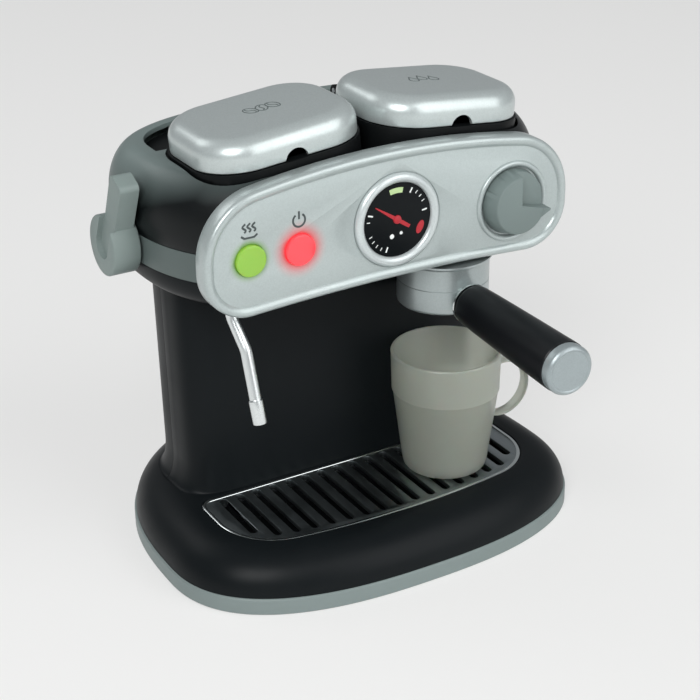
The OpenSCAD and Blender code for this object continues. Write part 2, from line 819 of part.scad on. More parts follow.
module front_panel() {
  skin_back = panel_face_y + panel_skin;
  color("#b4bebe") difference() {
    union() {
      upright(panel_y, head_front_y) difference() {
        panel_2d(0);
        panel_2d(panel_skin);
      }
      upright(panel_y, skin_back) difference() {
        panel_2d(0);
        panel_2d(bead_w);
      }
      upright(panel_face_y, skin_back) panel_2d(1);
      disc_y(knob_x, knob_z, 2 * shaft_r, skin_back - E, head_front_y - frame_t);
      for (p = panel_screw_at) disc_y(p[0], p[1], 3.6, skin_back - E, head_front_y - frame_t);
    }
    for (x = [green_x, red_x]) disc_y(x, button_z, button_d / 2 + slip, panel_y, head_front_y);
    disc_y(gauge_x, gauge_z, dial_d / 2 + 1, panel_y, head_front_y);
    disc_y(knob_x, knob_z, knob_d / 2 + knob_seat, panel_y - 1, panel_face_y + 1);
    disc_y(knob_x, knob_z, shaft_r + fit, panel_y, head_front_y + 1);
    for (p = panel_screw_at) disc_y(p[0], p[1], screw_r - screw_bite, skin_back - 1, head_front_y);
  }
}

module panel_screws() {
  color("#b9bdbd") for (p = panel_screw_at) {
    disc_y(p[0], p[1], screw_r - screw_bite, panel_face_y + panel_skin, head_front_y + 1);
    disc_y(p[0], p[1], screw_head_r, head_front_y, head_front_y + 1.6);
  }
}

module gauge_bezel() {
  color("#c3cbcb") translate([gauge_x, panel_face_y, gauge_z]) rotate([90, 0, 0])
    rotate_extrude($fn = 96) polygon([
      [dial_d / 2, 0], [bezel_d / 2, 0], [bezel_d / 2, 1], [bezel_d / 2 - 1.2, 2.4],
      [dial_d / 2 + 1.6, 2.4], [dial_d / 2, 1]
    ]);
}

module gauge_dial() {
  r = dial_d / 2 + 1 - seat;
  color("#101416") difference() {
    disc_y(gauge_x, gauge_z, r, panel_face_y, head_front_y - frame_t);
    disc_y(gauge_x, gauge_z, r - 2, panel_face_y + 1.6, head_front_y);
  }
}

module push_button(x) {
  skin_back = panel_face_y + panel_skin;
  disc_y(x, button_z, button_d / 2, panel_face_y - 2.2, skin_back + slip);
  disc_y(x, button_z, button_d / 2 + 1.6, skin_back + slip, skin_back + slip + 1.2);
  disc_y(x + stem_in, button_z, 2.5, skin_back + slip, head_front_y + 2);
}

module button_green() {
  color("#9ccb52") push_button(green_x);
}

module button_red() {
  color("#ff5f66") push_button(red_x);
}

module button_board() {
  board_y = head_front_y + 2 + button_travel + 0.4;
  mid_x = (green_x + red_x) / 2 + stem_in;
  half_w = (red_x - green_x) / 2 + 5;
  board_t = 1.6;
  switch_w = 6;
  post_h = 4;
  board_low = 12;
  board_top = min(10, box_floor_z - button_z - 1);
  color("#2f6b45") {
    translate([mid_x - half_w, board_y + board_t, button_z - board_low])
      cube([2 * half_w, board_t, board_low + board_top]);
    for (x = [green_x, red_x]) translate([x + stem_in - switch_w / 2, board_y, button_z - switch_w / 2])
      cube([switch_w, board_t + E, switch_w]);
    for (z = [2 - board_low, board_top - post_h])
      translate([mid_x - switch_w / 2, head_front_y, button_z + z])
        cube([switch_w, board_y - head_front_y + board_t + E, post_h]);
  }
}

module knob() {
  back_y = panel_face_y + 1 - slip;
  front_y = panel_face_y - knob_h;
  tip = knob_d / 2 + pointer_out;
  color("#8e9a99") difference() {
    union() {
      translate([knob_x, back_y, knob_z]) rotate([90, 0, 0])
        cylinder(r1 = knob_d / 2, r2 = knob_face_d / 2, h = back_y - front_y);
      upright(front_y + 1, panel_face_y - slip) translate([knob_x, knob_z]) rotate(notch_from)
        polygon([[tip - pointer_w, -pointer_w], [tip, -1], [tip, 0], [tip - pointer_w, 0]]);
    }
    upright(front_y - 1, front_y + knob_notch) translate([knob_x, knob_z])
      polygon([[0, 0], knob_d * [cos(notch_from), sin(notch_from)], [knob_d, knob_d], [0, knob_d]]);
    disc_y(knob_x, knob_z, shaft_r + 0.02, front_y + knob_notch + 1, back_y + 1);
  }
}

module knob_spindle() {
  color("#2b3032") disc_y(knob_x, knob_z, shaft_r,
    panel_face_y - knob_h + knob_notch + 1.2, valve_y + 2);
}

// ---- water way ----------------------------------------------------------------------------

valve_y = brew_y;

module water_valve() {
  low = knob_z - 7;
  top = box_floor_z;
  color("#dfe4e2") difference() {
    union() {
      translate([knob_x - 9, valve_y - 8, low]) cube([18, 16, top - low - 3]);
      translate([knob_x, valve_y, low]) cylinder(r = 6, h = top - low);
    }
    disc_y(knob_x, knob_z, shaft_r + fit, valve_y - 10, valve_y + 3);
  }
}

module water_hose() {
  from = [knob_x - 9, valve_y, knob_z - 4];
  r = 2.5;
  color("#d5dcd8") {
    translate([brew_x, from[1], from[2]]) rotate([0, 90, 0]) cylinder(r = r, h = from[0] - brew_x);
    translate([brew_x, from[1], from[2]]) sphere(r);
    translate([brew_x, from[1], under_z + 3]) cylinder(r = r, h = from[2] - under_z - 3);
  }
}

// ---- lids and containers --------------------------------------------------------------------

module at_lid(side) {
  translate([side * lid_x, lid_y, lid_z]) rotate([0, side * lid_tilt, 0]) children();
}

module container(side) {
  difference() {
    union() {
      intersection() {
        at_lid(side) translate([0, 0, -40]) linear_extrude(40 - lid_gap)
          rounded_2d(collar_w, collar_d, lid_corner_r + collar_out);
        translate([-200, -200, deck_top_z]) cube([400, 400, 100]);
      }
      translate([side * lid_x, lid_y, box_floor_z]) linear_extrude(box_depth + E)
        rounded_2d(box_w, box_d, box_corner_r);
      intersection() {
        at_lid(side) for (u = [-lug_u, 0, lug_u]) {
          width = u == 0 ? 3 * lug_w : lug_w;
          translate([u - width / 2, collar_d / 2 - 6, -40])
            cube([width, hinge_v - collar_d / 2 + 6, 40 - lid_gap]);
          translate([u - width / 2, lid_d / 2 + 1.2, -40])
            cube([width, hinge_v + hinge_r - lid_d / 2 - 1.2, 40 + hinge_w]);
          translate([u - width / 2, hinge_v, hinge_w]) rotate([0, 90, 0])
            cylinder(r = hinge_r, h = width);
        }
        translate([-200, -200, deck_top_z]) cube([400, 400, 100]);
      }
    }
    translate([side * lid_x, lid_y, box_floor_z + box_wall]) linear_extrude(60)
      rounded_2d(box_w - 2 * box_wall, box_d - 2 * box_wall, box_corner_r - box_wall);
    at_lid(side) translate([-lid_w / 2, hinge_v, hinge_w]) rotate([0, 90, 0])
      cylinder(r = pin_r + 0.01, h = lid_w);
    if (side > 0) translate([knob_x, valve_y, box_floor_z - 1]) cylinder(r = 2, h = box_wall + 2);
  }
}

module bean_box() {
  color("#15191b") container(-1);
}

module water_tank() {
  color("#15191b") container(1);
}

module lid(side) {
  at_lid(side) difference() {
    union() {
      difference() {
        soft_slab(lid_w, lid_d, lid_h, lid_corner_r, lid_edge_r);
        translate([0, 0, -E]) soft_slab(lid_w - 2 * lid_wall, lid_d - 2 * lid_wall,
          lid_h - lid_wall, lid_corner_r - lid_wall, lid_edge_r - lid_wall);
      }
      for (s = [-1, 1]) {
        translate([s * ear_u - ear_w / 2, lid_d / 2 - lid_wall, 0])
          cube([ear_w, hinge_v - lid_d / 2 + lid_wall, hinge_w + hinge_r]);
        translate([s * ear_u - ear_w / 2, hinge_v, hinge_w]) rotate([0, 90, 0])
          cylinder(r = hinge_r, h = ear_w);
      }
    }
    translate([0, -lid_d / 2 + notch_r, -1]) rotate([90, 0, 0]) cylinder(r = notch_r, h = 2 * notch_r);
    translate([-lid_w / 2, hinge_v, hinge_w]) rotate([0, 90, 0])
      cylinder(r = pin_r + fit, h = lid_w);
  }
}

module lid_left() {
  color("#a9b3b1") lid(-1);
}

module lid_right() {
  color("#a9b3b1") lid(1);
}

module lid_pin(side) {
  reach = lug_u + lug_w / 2;
  at_lid(side) translate([-reach, hinge_v, hinge_w]) rotate([0, 90, 0])
    cylinder(r = pin_r, h = 2 * reach);
}

module lid_pin_left() {
  color("#b9bdbd") lid_pin(-1);
}

module lid_pin_right() {
  color("#b9bdbd") lid_pin(1);
}

// ---- brewing head and handle ------------------------------------------------------------------

module at_brew() {
  translate([brew_x, brew_y, 0]) rotate([0, 0, handle_turn]) children();
}

module brew_head() {
  color("#b8c2c2") translate([brew_x, brew_y, 0]) difference() {
    union() {
      translate([0, 0, bowl_top_z + slip]) cylinder(r = brew_r, h = under_z - bowl_top_z - slip);
      translate([0, 0, under_z - 3]) cylinder(r = brew_r + 1.5, h = 3);
      translate([0, 0, under_z - 1]) cylinder(r = 11.8, h = wall + 1);
      translate([0, 0, tab_z]) cylinder(r = spigot_r, h = under_z - tab_z - 4);
      for (a = [90, 270]) rotate([0, 0, a - 23]) translate([0, 0, tab_z])
        rotate_extrude(angle = 46) square([brew_r - bowl_wall - 0.5, tab_t]);
    }
    translate([0, 0, tab_z - 1]) cylinder(r = spigot_r - wall, h = under_z - tab_z - wall);
    translate([0, 0, under_z - 5]) cylinder(r = 4.4, h = 10);
  }
  color("#b8c2c2") translate([brew_x, brew_y, 0]) difference() {
    translate([0, 0, tab_z]) cylinder(r = 4.4, h = under_z + 3 - tab_z);
    translate([0, 0, tab_z - 1]) cylinder(r = 2.6, h = under_z + 6 - tab_z);
  }
}

module bowl() {
  cavity_r = brew_r - bowl_wall;
  color("#b8c2c2") at_brew() difference() {
    union() {
      translate([0, 0, bowl_z]) cylinder(r = brew_r, h = bowl_h);
      intersection() {
        disc_y(0, handle_z, tang_r, -(grip_start + 12), -brew_r + 1);
        translate([-50, -100, bowl_z]) cube([100, 200, 100]);
      }
    }
    translate([0, 0, bowl_z + bowl_floor]) cylinder(r = cavity_r, h = bowl_h - bowl_floor - lip_t);
    translate([0, 0, bowl_z + bowl_floor]) cylinder(r = spigot_r + slip, h = bowl_h);
    for (a = [90, 270]) rotate([0, 0, a + 43 - 27 - handle_turn]) translate([0, 0, bowl_z + bowl_floor])
      rotate_extrude(angle = 54) square([cavity_r, bowl_h]);
    translate([0, 0, bowl_z - 1]) cylinder(r = 3, h = bowl_floor + 2);
  }
}

module bowl_spout() {
  color("#17181c") at_brew() difference() {
    union() {
      translate([0, 0, bowl_z - 5]) cylinder(r = 6, h = 5);
      translate([0, 0, bowl_z - 1]) cylinder(r = 2.9, h = bowl_floor + 1);
    }
    translate([0, 0, bowl_z - 6]) cylinder(r = 1.8, h = bowl_floor + 8);
  }
}

module handle_collar() {
  color("#c3cbcb") at_brew() translate([0, -(brew_r + 1), handle_z]) rotate([90, 0, 0])
    difference() {
      cylinder(r1 = 8.4, r2 = 10.6, h = collar_l);
      translate([0, 0, -1]) cylinder(r = tang_r + 0.02, h = collar_l + 2);
    }
}

module handle_grip() {
  r0 = grip_d / 2 - 2;
  r1 = grip_d / 2;
  color("#17181c") at_brew() translate([0, -grip_start, handle_z]) rotate([90, 0, 0]) difference() {
    rotate_extrude($fn = 96) polygon([
      [0, 0], [r0 - 3, 0], [r0 - 1, 1], [r0, 3.2], [r1, grip_l], [0, grip_l]
    ]);
    translate([0, 0, -1]) cylinder(r = tang_r + 0.02, h = 13.2);
  }
}

module handle_cap() {
  r = grip_d / 2 - 0.3;
  edge = 2;
  color("#c3cbcb") at_brew() translate([0, -(grip_start + grip_l), handle_z]) rotate([90, 0, 0])
    rotate_extrude($fn = 96) union() {
      square([r, cap_l - edge]);
      square([r - edge, cap_l]);
      translate([r - edge, cap_l - edge]) intersection() {
        circle(edge);
        square(edge);
      }
    }
}

// ---- steam pipe ---------------------------------------------------------------------------------

function unit(v) = v / norm(v);

module rod(a, b, r) {
  d = b - a;
  translate(a) rotate([0, acos(d[2] / norm(d)), atan2(d[1], d[0])]) cylinder(r = r, h = norm(d));
}

module steam_pipe() {
  r = pipe_d / 2;
  color("#b8c2c2") {
    translate([pipe_x, pipe_y, pipe_bend_1[2]]) cylinder(r = r, h = under_z + wall - pipe_bend_1[2]);
    translate([pipe_x, pipe_y, under_z + wall + slip]) cylinder(r = r + 1.6, h = 2);
    translate([pipe_x, pipe_y, under_z + wall - 1]) cylinder(r = r, h = 2);
    translate(pipe_bend_1) sphere(r + 0.05);
    rod(pipe_bend_1, pipe_bend_2, r);
    translate(pipe_bend_2) sphere(r + 0.05);
    rod(pipe_bend_2, pipe_end, r);
  }
}

module pipe_tip() {
  along = unit(pipe_end - pipe_bend_2);
  color("#c3cbcb") difference() {
    rod(pipe_end - (tip_l - 2) * along, pipe_end + 2 * along, tip_r);
    rod(pipe_end - tip_l * along, pipe_end, pipe_d / 2 + 0.02);
    rod(pipe_end - tip_l * along, pipe_end + 3 * along, 1);
  }
}

module pipe_socket() {
  color("#2b3032") translate([pipe_x, pipe_y, 0]) difference() {
    union() {
      translate([0, 0, under_z - 3]) cylinder(r = 7, h = 3);
      translate([0, 0, under_z - 1]) cylinder(r = 4.1, h = wall + 1);
    }
    translate([0, 0, under_z - 4]) cylinder(r = pipe_d / 2 + fit, h = wall + 8);
  }
}

// ---- crank ----------------------------------------------------------------------------------------

module along_crank(x) {
  translate([x, crank_y, crank_z]) rotate([0, -90, 0]) children();
}

module crank() {
  arm_in = shell_swell - shell_in + 0.2;
  arm_t = crank_t - crank_step - arm_in;
  root_w = crank_arm_w - 1;
  arm_r = 3;
  color("#8e9a99") difference() {
    union() {
      along_crank(crank_x) cylinder(r = crank_hub_d / 2, h = crank_t);
      along_crank(crank_x - crank_t) cylinder(r1 = crank_hub_d / 2, r2 = crank_hub_d / 2 - crank_dome,
        h = crank_dome);
      along_crank(crank_x - arm_in) rotate([0, 0, -crank_lean]) linear_extrude(arm_t) {
        polygon([
          [0, -root_w / 2], [crank_arm - arm_r, -crank_arm_w / 2],
          [crank_arm - arm_r, crank_arm_w / 2], [0, root_w / 2]
        ]);
        translate([crank_arm - arm_r - E, -crank_arm_w / 2 + arm_r])
          square([arm_r + E, crank_arm_w - 2 * arm_r]);
        for (s = [-1, 1]) translate([crank_arm - arm_r, s * (crank_arm_w / 2 - arm_r)]) circle(arm_r);
      }
    }
    along_crank(crank_x - crank_t + crank_step) rotate([0, 0, -crank_lean]) {
      translate([0, -root_w / 2 - step_side, 0])
        cube([crank_hub_d, root_w + 2 * step_side, crank_step + crank_dome + 1]);
      cylinder(r = root_w / 2 + 2 * step_side, h = crank_step + crank_dome + 1);
    }
    along_crank(crank_x + 1) cylinder(r = shaft_r + 0.02, h = crank_t - crank_step - crank_skin + 1);
  }
}

module crank_shaft() {
  reach = crank_t - crank_step - crank_skin - slip;
  color("#b9bdbd") along_crank(wheel_x + wheel_t + 1)
    cylinder(r = shaft_r, h = wheel_x + wheel_t + 1 - crank_x + reach);
}

module crank_bushing() {
  lip_x = -(head_w / 2 - wall - 1.5);
  color("#2b3032") difference() {
    union() {
      along_crank(lip_x + 1.6) cylinder(r = 8, h = 1.6 - seat);
      along_crank(lip_x + 1.6) cylinder(r = bushing_r - 0.02, h = lip_x + 1.6 - crank_x - slip);
    }
    along_crank(lip_x + 3) cylinder(r = shaft_r + fit, h = 20);
  }
}

module click_wheel() {
  teeth = 12;
  color("#dfe4e2") along_crank(wheel_x + wheel_t) difference() {
    linear_extrude(wheel_t) polygon([for (i = [0 : 2 * teeth - 1])
      let (r = i % 2 == 0 ? wheel_r : wheel_r - 2) [r * cos(i * 180 / teeth), r * sin(i * 180 / teeth)]]);
    translate([0, 0, -1]) cylinder(r = shaft_r + 0.02, h = wheel_t + 3);
  }
}

module click_leaf() {
  foot_z = under_z + wall;
  leaf_z = crank_z - wheel_r - slip - leaf_t;
  leaf_y = crank_y - wheel_r - 3;
  color("#dfe4e2") {
    translate([wheel_x, leaf_y, foot_z]) cube([wheel_t, 1.6, leaf_z + leaf_t - foot_z]);
    translate([wheel_x, leaf_y, leaf_z]) cube([wheel_t, 16, leaf_t]);
  }
}

// ---- cup --------------------------------------------------------------------------------------------

function cup_r(h) = cup_foot_d / 2 + (cup_d / 2 - 1.2 - cup_foot_d / 2) * min(h / (0.66 * cup_h), 1);

module cup_outer() {
  step_h = 0.66 * cup_h;
  rotate_extrude($fn = 96) polygon([
    [0, 0], [cup_foot_d / 2 - 3, 0], [cup_foot_d / 2 - 0.9, 0.9], [cup_r(4) , 4],
    [cup_r(step_h), step_h], [cup_r(step_h) + 0.6, step_h + 0.8],
    [cup_d / 2, cup_h - 1], [cup_d / 2 - 0.4, cup_h], [0, cup_h]
  ]);
}

module cup() {
  step_h = 0.66 * cup_h;
  color("#a3a699") translate([cup_x, cup_y, cup_z]) {
    difference() {
      cup_outer();
      rotate_extrude($fn = 96) polygon([
        [0, cup_wall + 1], [cup_foot_d / 2 - cup_wall - 1.6, cup_wall + 1],
        [cup_r(5) - cup_wall, 5 + cup_wall], [cup_r(step_h) - cup_wall, step_h],
        [cup_d / 2 - cup_wall, cup_h + 1], [0, cup_h + 1]
      ]);
    }
    difference() {
      translate([cup_d / 2 + 7, 3.5, 0.53 * cup_h]) rotate([90, 0, 0]) linear_extrude(7) difference() {
        circle(cup_loop_r);
        circle(cup_loop_r - cup_loop_w);
      }
      translate([0, 0, -1]) rotate_extrude($fn = 96) polygon([
        [0, 0], [cup_r(0) - 0.5, 0], [cup_r(step_h) - 0.5, step_h + 1], [cup_d / 2 - 0.5, cup_h], [0, cup_h]
      ]);
    }
  }
}

base_tray();
base_skirt();
base_screws();
battery_box();
battery_cells();
battery_door();
door_screw();
speaker();
drip_tray();
drip_grille();
column_front();
column_back();
back_screws();
head_lower();
head_band();
head_shell();
head_deck();
front_frame();
front_panel();
panel_screws();
gauge_bezel();
gauge_dial();
button_green();
button_red();
button_board();
knob();
knob_spindle();
water_valve();
water_hose();
bean_box();
water_tank();
lid_left();
lid_right();
lid_pin_left();
lid_pin_right();
brew_head();
bowl();
bowl_spout();
handle_collar();
handle_grip();
handle_cap();
steam_pipe();
pipe_tip();
pipe_socket();
crank();
crank_shaft();
crank_bushing();
click_wheel();
click_leaf();
cup();
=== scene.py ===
"""Looks of the toy coffee maker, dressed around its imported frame. Lengths are millimetres."""
import math
from itertools import product

import bmesh
import bpy
from mathutils import Matrix, Vector


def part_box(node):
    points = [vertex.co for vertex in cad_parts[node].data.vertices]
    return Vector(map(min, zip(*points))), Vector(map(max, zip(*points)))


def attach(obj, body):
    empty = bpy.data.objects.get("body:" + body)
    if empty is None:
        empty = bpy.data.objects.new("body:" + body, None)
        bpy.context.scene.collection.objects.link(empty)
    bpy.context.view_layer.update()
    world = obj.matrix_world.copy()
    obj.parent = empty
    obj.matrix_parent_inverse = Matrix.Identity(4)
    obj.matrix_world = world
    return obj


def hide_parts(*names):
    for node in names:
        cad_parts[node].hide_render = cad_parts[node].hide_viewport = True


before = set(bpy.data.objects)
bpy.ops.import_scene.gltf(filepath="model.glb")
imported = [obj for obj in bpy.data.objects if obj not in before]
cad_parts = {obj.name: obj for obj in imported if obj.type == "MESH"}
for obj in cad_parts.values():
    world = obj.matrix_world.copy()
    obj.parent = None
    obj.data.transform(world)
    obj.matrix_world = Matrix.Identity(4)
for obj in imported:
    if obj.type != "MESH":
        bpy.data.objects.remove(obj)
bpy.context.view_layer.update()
MM = 0.001


def edge(node_name, axis, high):
    """Lowest or highest millimetre of a CAD node along one axis (0, 1 or 2)."""
    low_corner, high_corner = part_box(node_name)
    return (high_corner if high else low_corner)[axis] / MM


# ---- sizes shared by several pieces, from the frame where a node gives them -----------------

OVAL_COUNT = 216  # points round an oval outline
OVAL_POWER = 2.5
WALL = 2.4
SLIP = 0.3

BASE_W = 2 * edge("base_tray", 0, True)
BASE_FRONT = -edge("base_tray", 1, False)
BASE_BACK = edge("base_tray", 1, True)
BASE_MID_Y = -27
RING_H = edge("base_tray", 2, True)
RING_LEDGE = 1
DECK_Z = edge("base_skirt", 2, True)
SKIRT_ROUND = 22
TRAY_FLANGE = 2.2
DOOR_OPENING = (62.5, 57, 3)  # width, depth and corner radius
SOUND_RING_R = 9
SOUND_HOLE_R = 1.5

GRILLE_W = 2 * edge("drip_grille", 0, True)
GRILLE_FRONT = -edge("drip_grille", 1, False)
GRILLE_BACK = edge("drip_grille", 1, True)
GRILLE_BOW = 413
GRILLE_CORNER = 34
GRILLE_BACK_CORNER = 8
GRILLE_T = 3

COLUMN_W = 181.5
COLUMN_FRONT = edge("column_front", 1, False)
COLUMN_BACK = 70
COLUMN_MID = edge("column_front", 1, True)
COLUMN_FLARE_LOW = 5
COLUMN_FLARE_TOP = 2

HEAD_W = 2 * edge("head_band", 0, True)
HEAD_NOSE = -75
HEAD_BACK = edge("head_band", 1, True)
HEAD_MID = 20
HEAD_FRONT = edge("head_band", 1, False)
UNDER_Z = edge("head_lower", 2, False)
BAND_Z = edge("head_band", 2, False)
BAND_TOP = edge("head_band", 2, True)
HEAD_TOP = edge("head_shell", 2, True)
DECK_PLATE_Z = edge("head_deck", 2, True)
SHELL_MID_Z = BAND_TOP + (HEAD_TOP - BAND_TOP) * 0.32  # height at which the shell is widest

PANEL_W = 2 * edge("front_panel", 0, True)
PANEL_LOW = 158.3
PANEL_LOW_ARCH = 1263
PANEL_LOW_R = 24
PANEL_MID = 185.3
PANEL_TOP = edge("front_panel", 2, True)
PANEL_ARCH = 454
PANEL_FRONT = edge("front_panel", 1, False)
PANEL_SKIN = 2.4
BEAD_H = 1.6
PANEL_FACE = PANEL_FRONT + BEAD_H

BUTTON_R = 8
BUTTON_Z = 185
GREEN_X = -81
RED_X = -54
GAUGE_X = 1.4
GAUGE_Z = 189
DIAL_R = 19.6
BEZEL_R = 25
KNOB_X = 71
KNOB_Z = 185
KNOB_R = 17.6
KNOB_FACE_R = 15.4
KNOB_NOTCH = 6
KNOB_NOTCH_FROM = -15
KNOB_TIP = KNOB_R + 2.2
KNOB_TIP_W = 8
KNOB_SEAT = KNOB_R + 0.9
SPINDLE_HOLE_R = 3.1
KNOB_FRONT = edge("knob", 1, False)

LID_X = 47.5
LID_Y = -11.5
LID_Z = 226.6
LID_W = 89
LID_D = 70
LID_H = 15.4
LID_CORNER = 25
LID_ROUND = 9
LID_TILT = 5.6
LID_WALL = 2.2
LID_PIN_Y = LID_D / 2 + 4.4
LID_PIN_Z = 1.6
LID_BORE_R = 1.46
COLLAR_OUT = 1

BREW_X = 45
BREW_Y = -34.5
BREW_R = 24.6
BOWL_Z = edge("bowl", 2, False)
BOWL_TOP = edge("bowl", 2, True)
HANDLE_Z = BOWL_Z + 7.7
HANDLE_TURN = -3
GRIP_START = BREW_R + 5
GRIP_L = 84.5
GRIP_R = 13.2
CAP_L = 6

PIPE = [(-80, -32, 157), (-80, -32, 147), (-77, -42, 130), (-76, -52, 95)]
PIPE_R = 3
PIPE_BEND_R = 16
PIPE_COLLAR_R = 4.6
TIP_R = 3.6
TIP_L = 13

CRANK_Y = 13.5
CRANK_Z = 178
CRANK_FACE = edge("crank", 0, False)
CRANK_HUB_R = 15.8
CRANK_ARM = 42
CRANK_ARM_W = 13
CRANK_ROOT_W = 12
CRANK_STEP = 2
CRANK_STEP_SIDE = 0.5
CRANK_ARM_IN = 1.7
CRANK_BASE_X = -112.8
CRANK_LEAN = 24

CUP_X = 45
CUP_Y = -38.5
CUP_Z = edge("cup", 2, False)
CUP_R = 30
CUP_FOOT_R = 23
CUP_H = 69
CUP_STEP = 0.66 * CUP_H  # height of the step under the rim
CUP_LOOP_R = 17.6
CUP_LOOP_OUT = 7  # from the cup's rim to the middle of the loop
CUP_LOOP_Z = 0.53 * CUP_H
CUP_LOOP_T = 2.8
CUP_LOOP_W = 7


# ---- materials ----------------------------------------------------------------------------------

MATH = "ShaderNodeMath"
VECTOR_MATH = "ShaderNodeVectorMath"
RANGE = "ShaderNodeMapRange"
NOISE = "ShaderNodeTexNoise"


def rgb(code):
    """Linear colour of an sRGB hex value."""
    parts = [int(code[i:i + 2], 16) / 255 for i in (1, 3, 5)]
    linear = [c / 12.92 if c <= 0.04045 else ((c + 0.055) / 1.055) ** 2.4 for c in parts]
    return (*linear, 1)


def add(tree, kind, inputs=(), **settings):
    """Adds a node. Its inputs go by name or in order: a value is set, a socket or a node is linked."""
    made = tree.nodes.new(kind)
    for name, value in settings.items():
        setattr(made, name, value)
    for key, value in inputs.items() if isinstance(inputs, dict) else enumerate(inputs):
        source = value.outputs[0] if isinstance(value, bpy.types.Node) else value
        if isinstance(source, bpy.types.NodeSocket):
            tree.links.new(source, made.inputs[key])
        else:
            made.inputs[key].default_value = source
    return made


def shade(name, colour, roughness, **sockets):
    """A material with a Principled shader, its tree and the Object coordinates."""
    material = bpy.data.materials.new(name)
    material.use_nodes = True
    tree = material.node_tree
    shader = tree.nodes["Principled BSDF"]
    shader.inputs["Base Color"].default_value = rgb(colour)
    shader.inputs["Roughness"].default_value = roughness
    for key, value in sockets.items():
        shader.inputs[key.replace("_", " ")].default_value = value
    place = add(tree, "ShaderNodeTexCoord").outputs["Object"]
    return material, tree, shader, place


def per_metre(size):
    """Scale of a texture whose features are this many millimetres across."""
    return 1 / (size * MM)


def grain(tree, shader, place, size, height, strength=1.0):
    """Bump of a fine surface grain: size and height in millimetres."""
    noise = add(tree, NOISE, {"Vector": place, "Scale": per_metre(size), "Detail": 3.0})
    bump = add(tree, "ShaderNodeBump", {"Height": noise, "Distance": height * MM, "Strength": strength})
    tree.links.new(bump.outputs["Normal"], shader.inputs["Normal"])


def vary_gloss(tree, shader, place, roughness, size):
    """Slow change of gloss over the surface, as handling and moulding leave it."""
    noise = add(tree, NOISE, {"Vector": place, "Scale": per_metre(size), "Detail": 4.0, "Roughness": 0.6})
    gloss = add(tree, RANGE, {"Value": noise, "From Min": 0.3, "From Max": 0.7, "To Min": roughness[0],
                              "To Max": roughness[1]})
    tree.links.new(gloss.outputs["Result"], shader.inputs["Roughness"])
    return noise


def vary(tree, shader, place, colours, roughness, size):
    """Slow change of colour and gloss together."""
    noise = vary_gloss(tree, shader, place, roughness, size)
    mix = add(tree, "ShaderNodeMix", {"Factor": noise}, data_type="RGBA")
    for socket in mix.inputs:
        if socket.type == "RGBA":
            socket.default_value = rgb(colours["AB".index(socket.name)])
    colour = next(socket for socket in mix.outputs if socket.type == "RGBA")
    tree.links.new(colour, shader.inputs["Base Color"])
    return colour


def moulded(name, colours, roughness, grain_size=0.9, grain_height=0.012, shine=0.5):
    """Moulded ABS and plain finishes like it: an even colour, and a grain that softens the highlights."""
    # the grain from a real mould is about 0.1 mm: drawn coarser so that it shows
    material, tree, shader, place = shade(name, colours[0], roughness[0], IOR=1.52,
                                          Specular_IOR_Level=shine)
    vary(tree, shader, place, colours, roughness, 38)
    grain(tree, shader, place, grain_size, grain_height)
    return material


def sprayed_silver(name, colours, roughness, metallic):
    """Silver sprayed ABS: aluminium flakes in lacquer, a soft broad sheen with a faint sparkle."""
    material, tree, shader, place = shade(name, colours[0], roughness[0], Metallic=metallic,
                                          Coat_Weight=0.25, Coat_Roughness=0.25)
    colour = vary(tree, shader, place, colours, roughness, 45)
    # real flakes are 0.05 mm: drawn 0.6 mm across so that they show
    flakes = add(tree, "ShaderNodeTexVoronoi", {"Vector": place, "Scale": per_metre(0.6)})
    sparkle = add(tree, RANGE, {"Value": flakes.outputs["Color"], "To Min": 0.94, "To Max": 1.05})
    tinted = add(tree, VECTOR_MATH, (colour, sparkle), operation="MULTIPLY")
    tree.links.new(tinted.outputs["Vector"], shader.inputs["Base Color"])
    grain(tree, shader, place, 1.2, 0.008)
    return material


def plated(name, colour, roughness):
    """Vacuum plated ABS: a mirror film with faint waviness from the moulding under it."""
    material, tree, shader, place = shade(name, colour, roughness, Metallic=1.0)
    vary_gloss(tree, shader, place, (roughness * 0.85, roughness * 1.2), 12)
    grain(tree, shader, place, 6, 0.006, 0.3)
    return material


BLACK_ABS = moulded("satin_black_abs", ("#0F1315", "#14181A"), (0.36, 0.46), shine=0.11)
DEEP_BLACK_ABS = moulded("matt_deep_black_abs", ("#0A0C0D", "#0E1112"), (0.42, 0.55), shine=0.12)
GREY_ABS = moulded("satin_grey_abs", ("#596462", "#535D5B"), (0.36, 0.48), shine=0.35)
RING_GREY_ABS = moulded("satin_ring_grey_abs", ("#7D8988", "#75807E"), (0.38, 0.5), shine=0.35)
CRANK_GREY_ABS = moulded("matt_light_grey_abs", ("#818E8B", "#798582"), (0.45, 0.56), shine=0.35)
KNOB_GREY_ABS = moulded("matt_mid_grey_abs", ("#75827F", "#6E7A79"), (0.42, 0.54), shine=0.3)
LID_SILVER = sprayed_silver("lid_silver_sprayed_abs", ("#C3CCCB", "#BCC5C4"), (0.28, 0.36), 0.5)
BRIGHT_PLATE = plated("bright_plated_abs", "#D8DEDE", 0.16)
BREW_SILVER = sprayed_silver("brew_silver_sprayed_abs", ("#ABB4B4", "#A4ADAD"), (0.3, 0.38), 0.7)
BEZEL_SILVER = sprayed_silver("bezel_silver_sprayed_abs", ("#CBD3D3", "#C4CCCC"), (0.28, 0.36), 0.4)
CAP_SILVER = sprayed_silver("cap_silver_sprayed_abs", ("#9FA9AB", "#98A2A4"), (0.3, 0.38), 0.45)
PIPE_PLATE = plated("pipe_plated_abs", "#E6EBEB", 0.3)
DARK_PLATE = plated("smoked_plated_abs", "#969EA0", 0.34)
GRIP_BLACK = moulded("soft_grip_black_abs", ("#0E1013", "#131518"), (0.34, 0.46), 0.7, 0.02, 0.18)
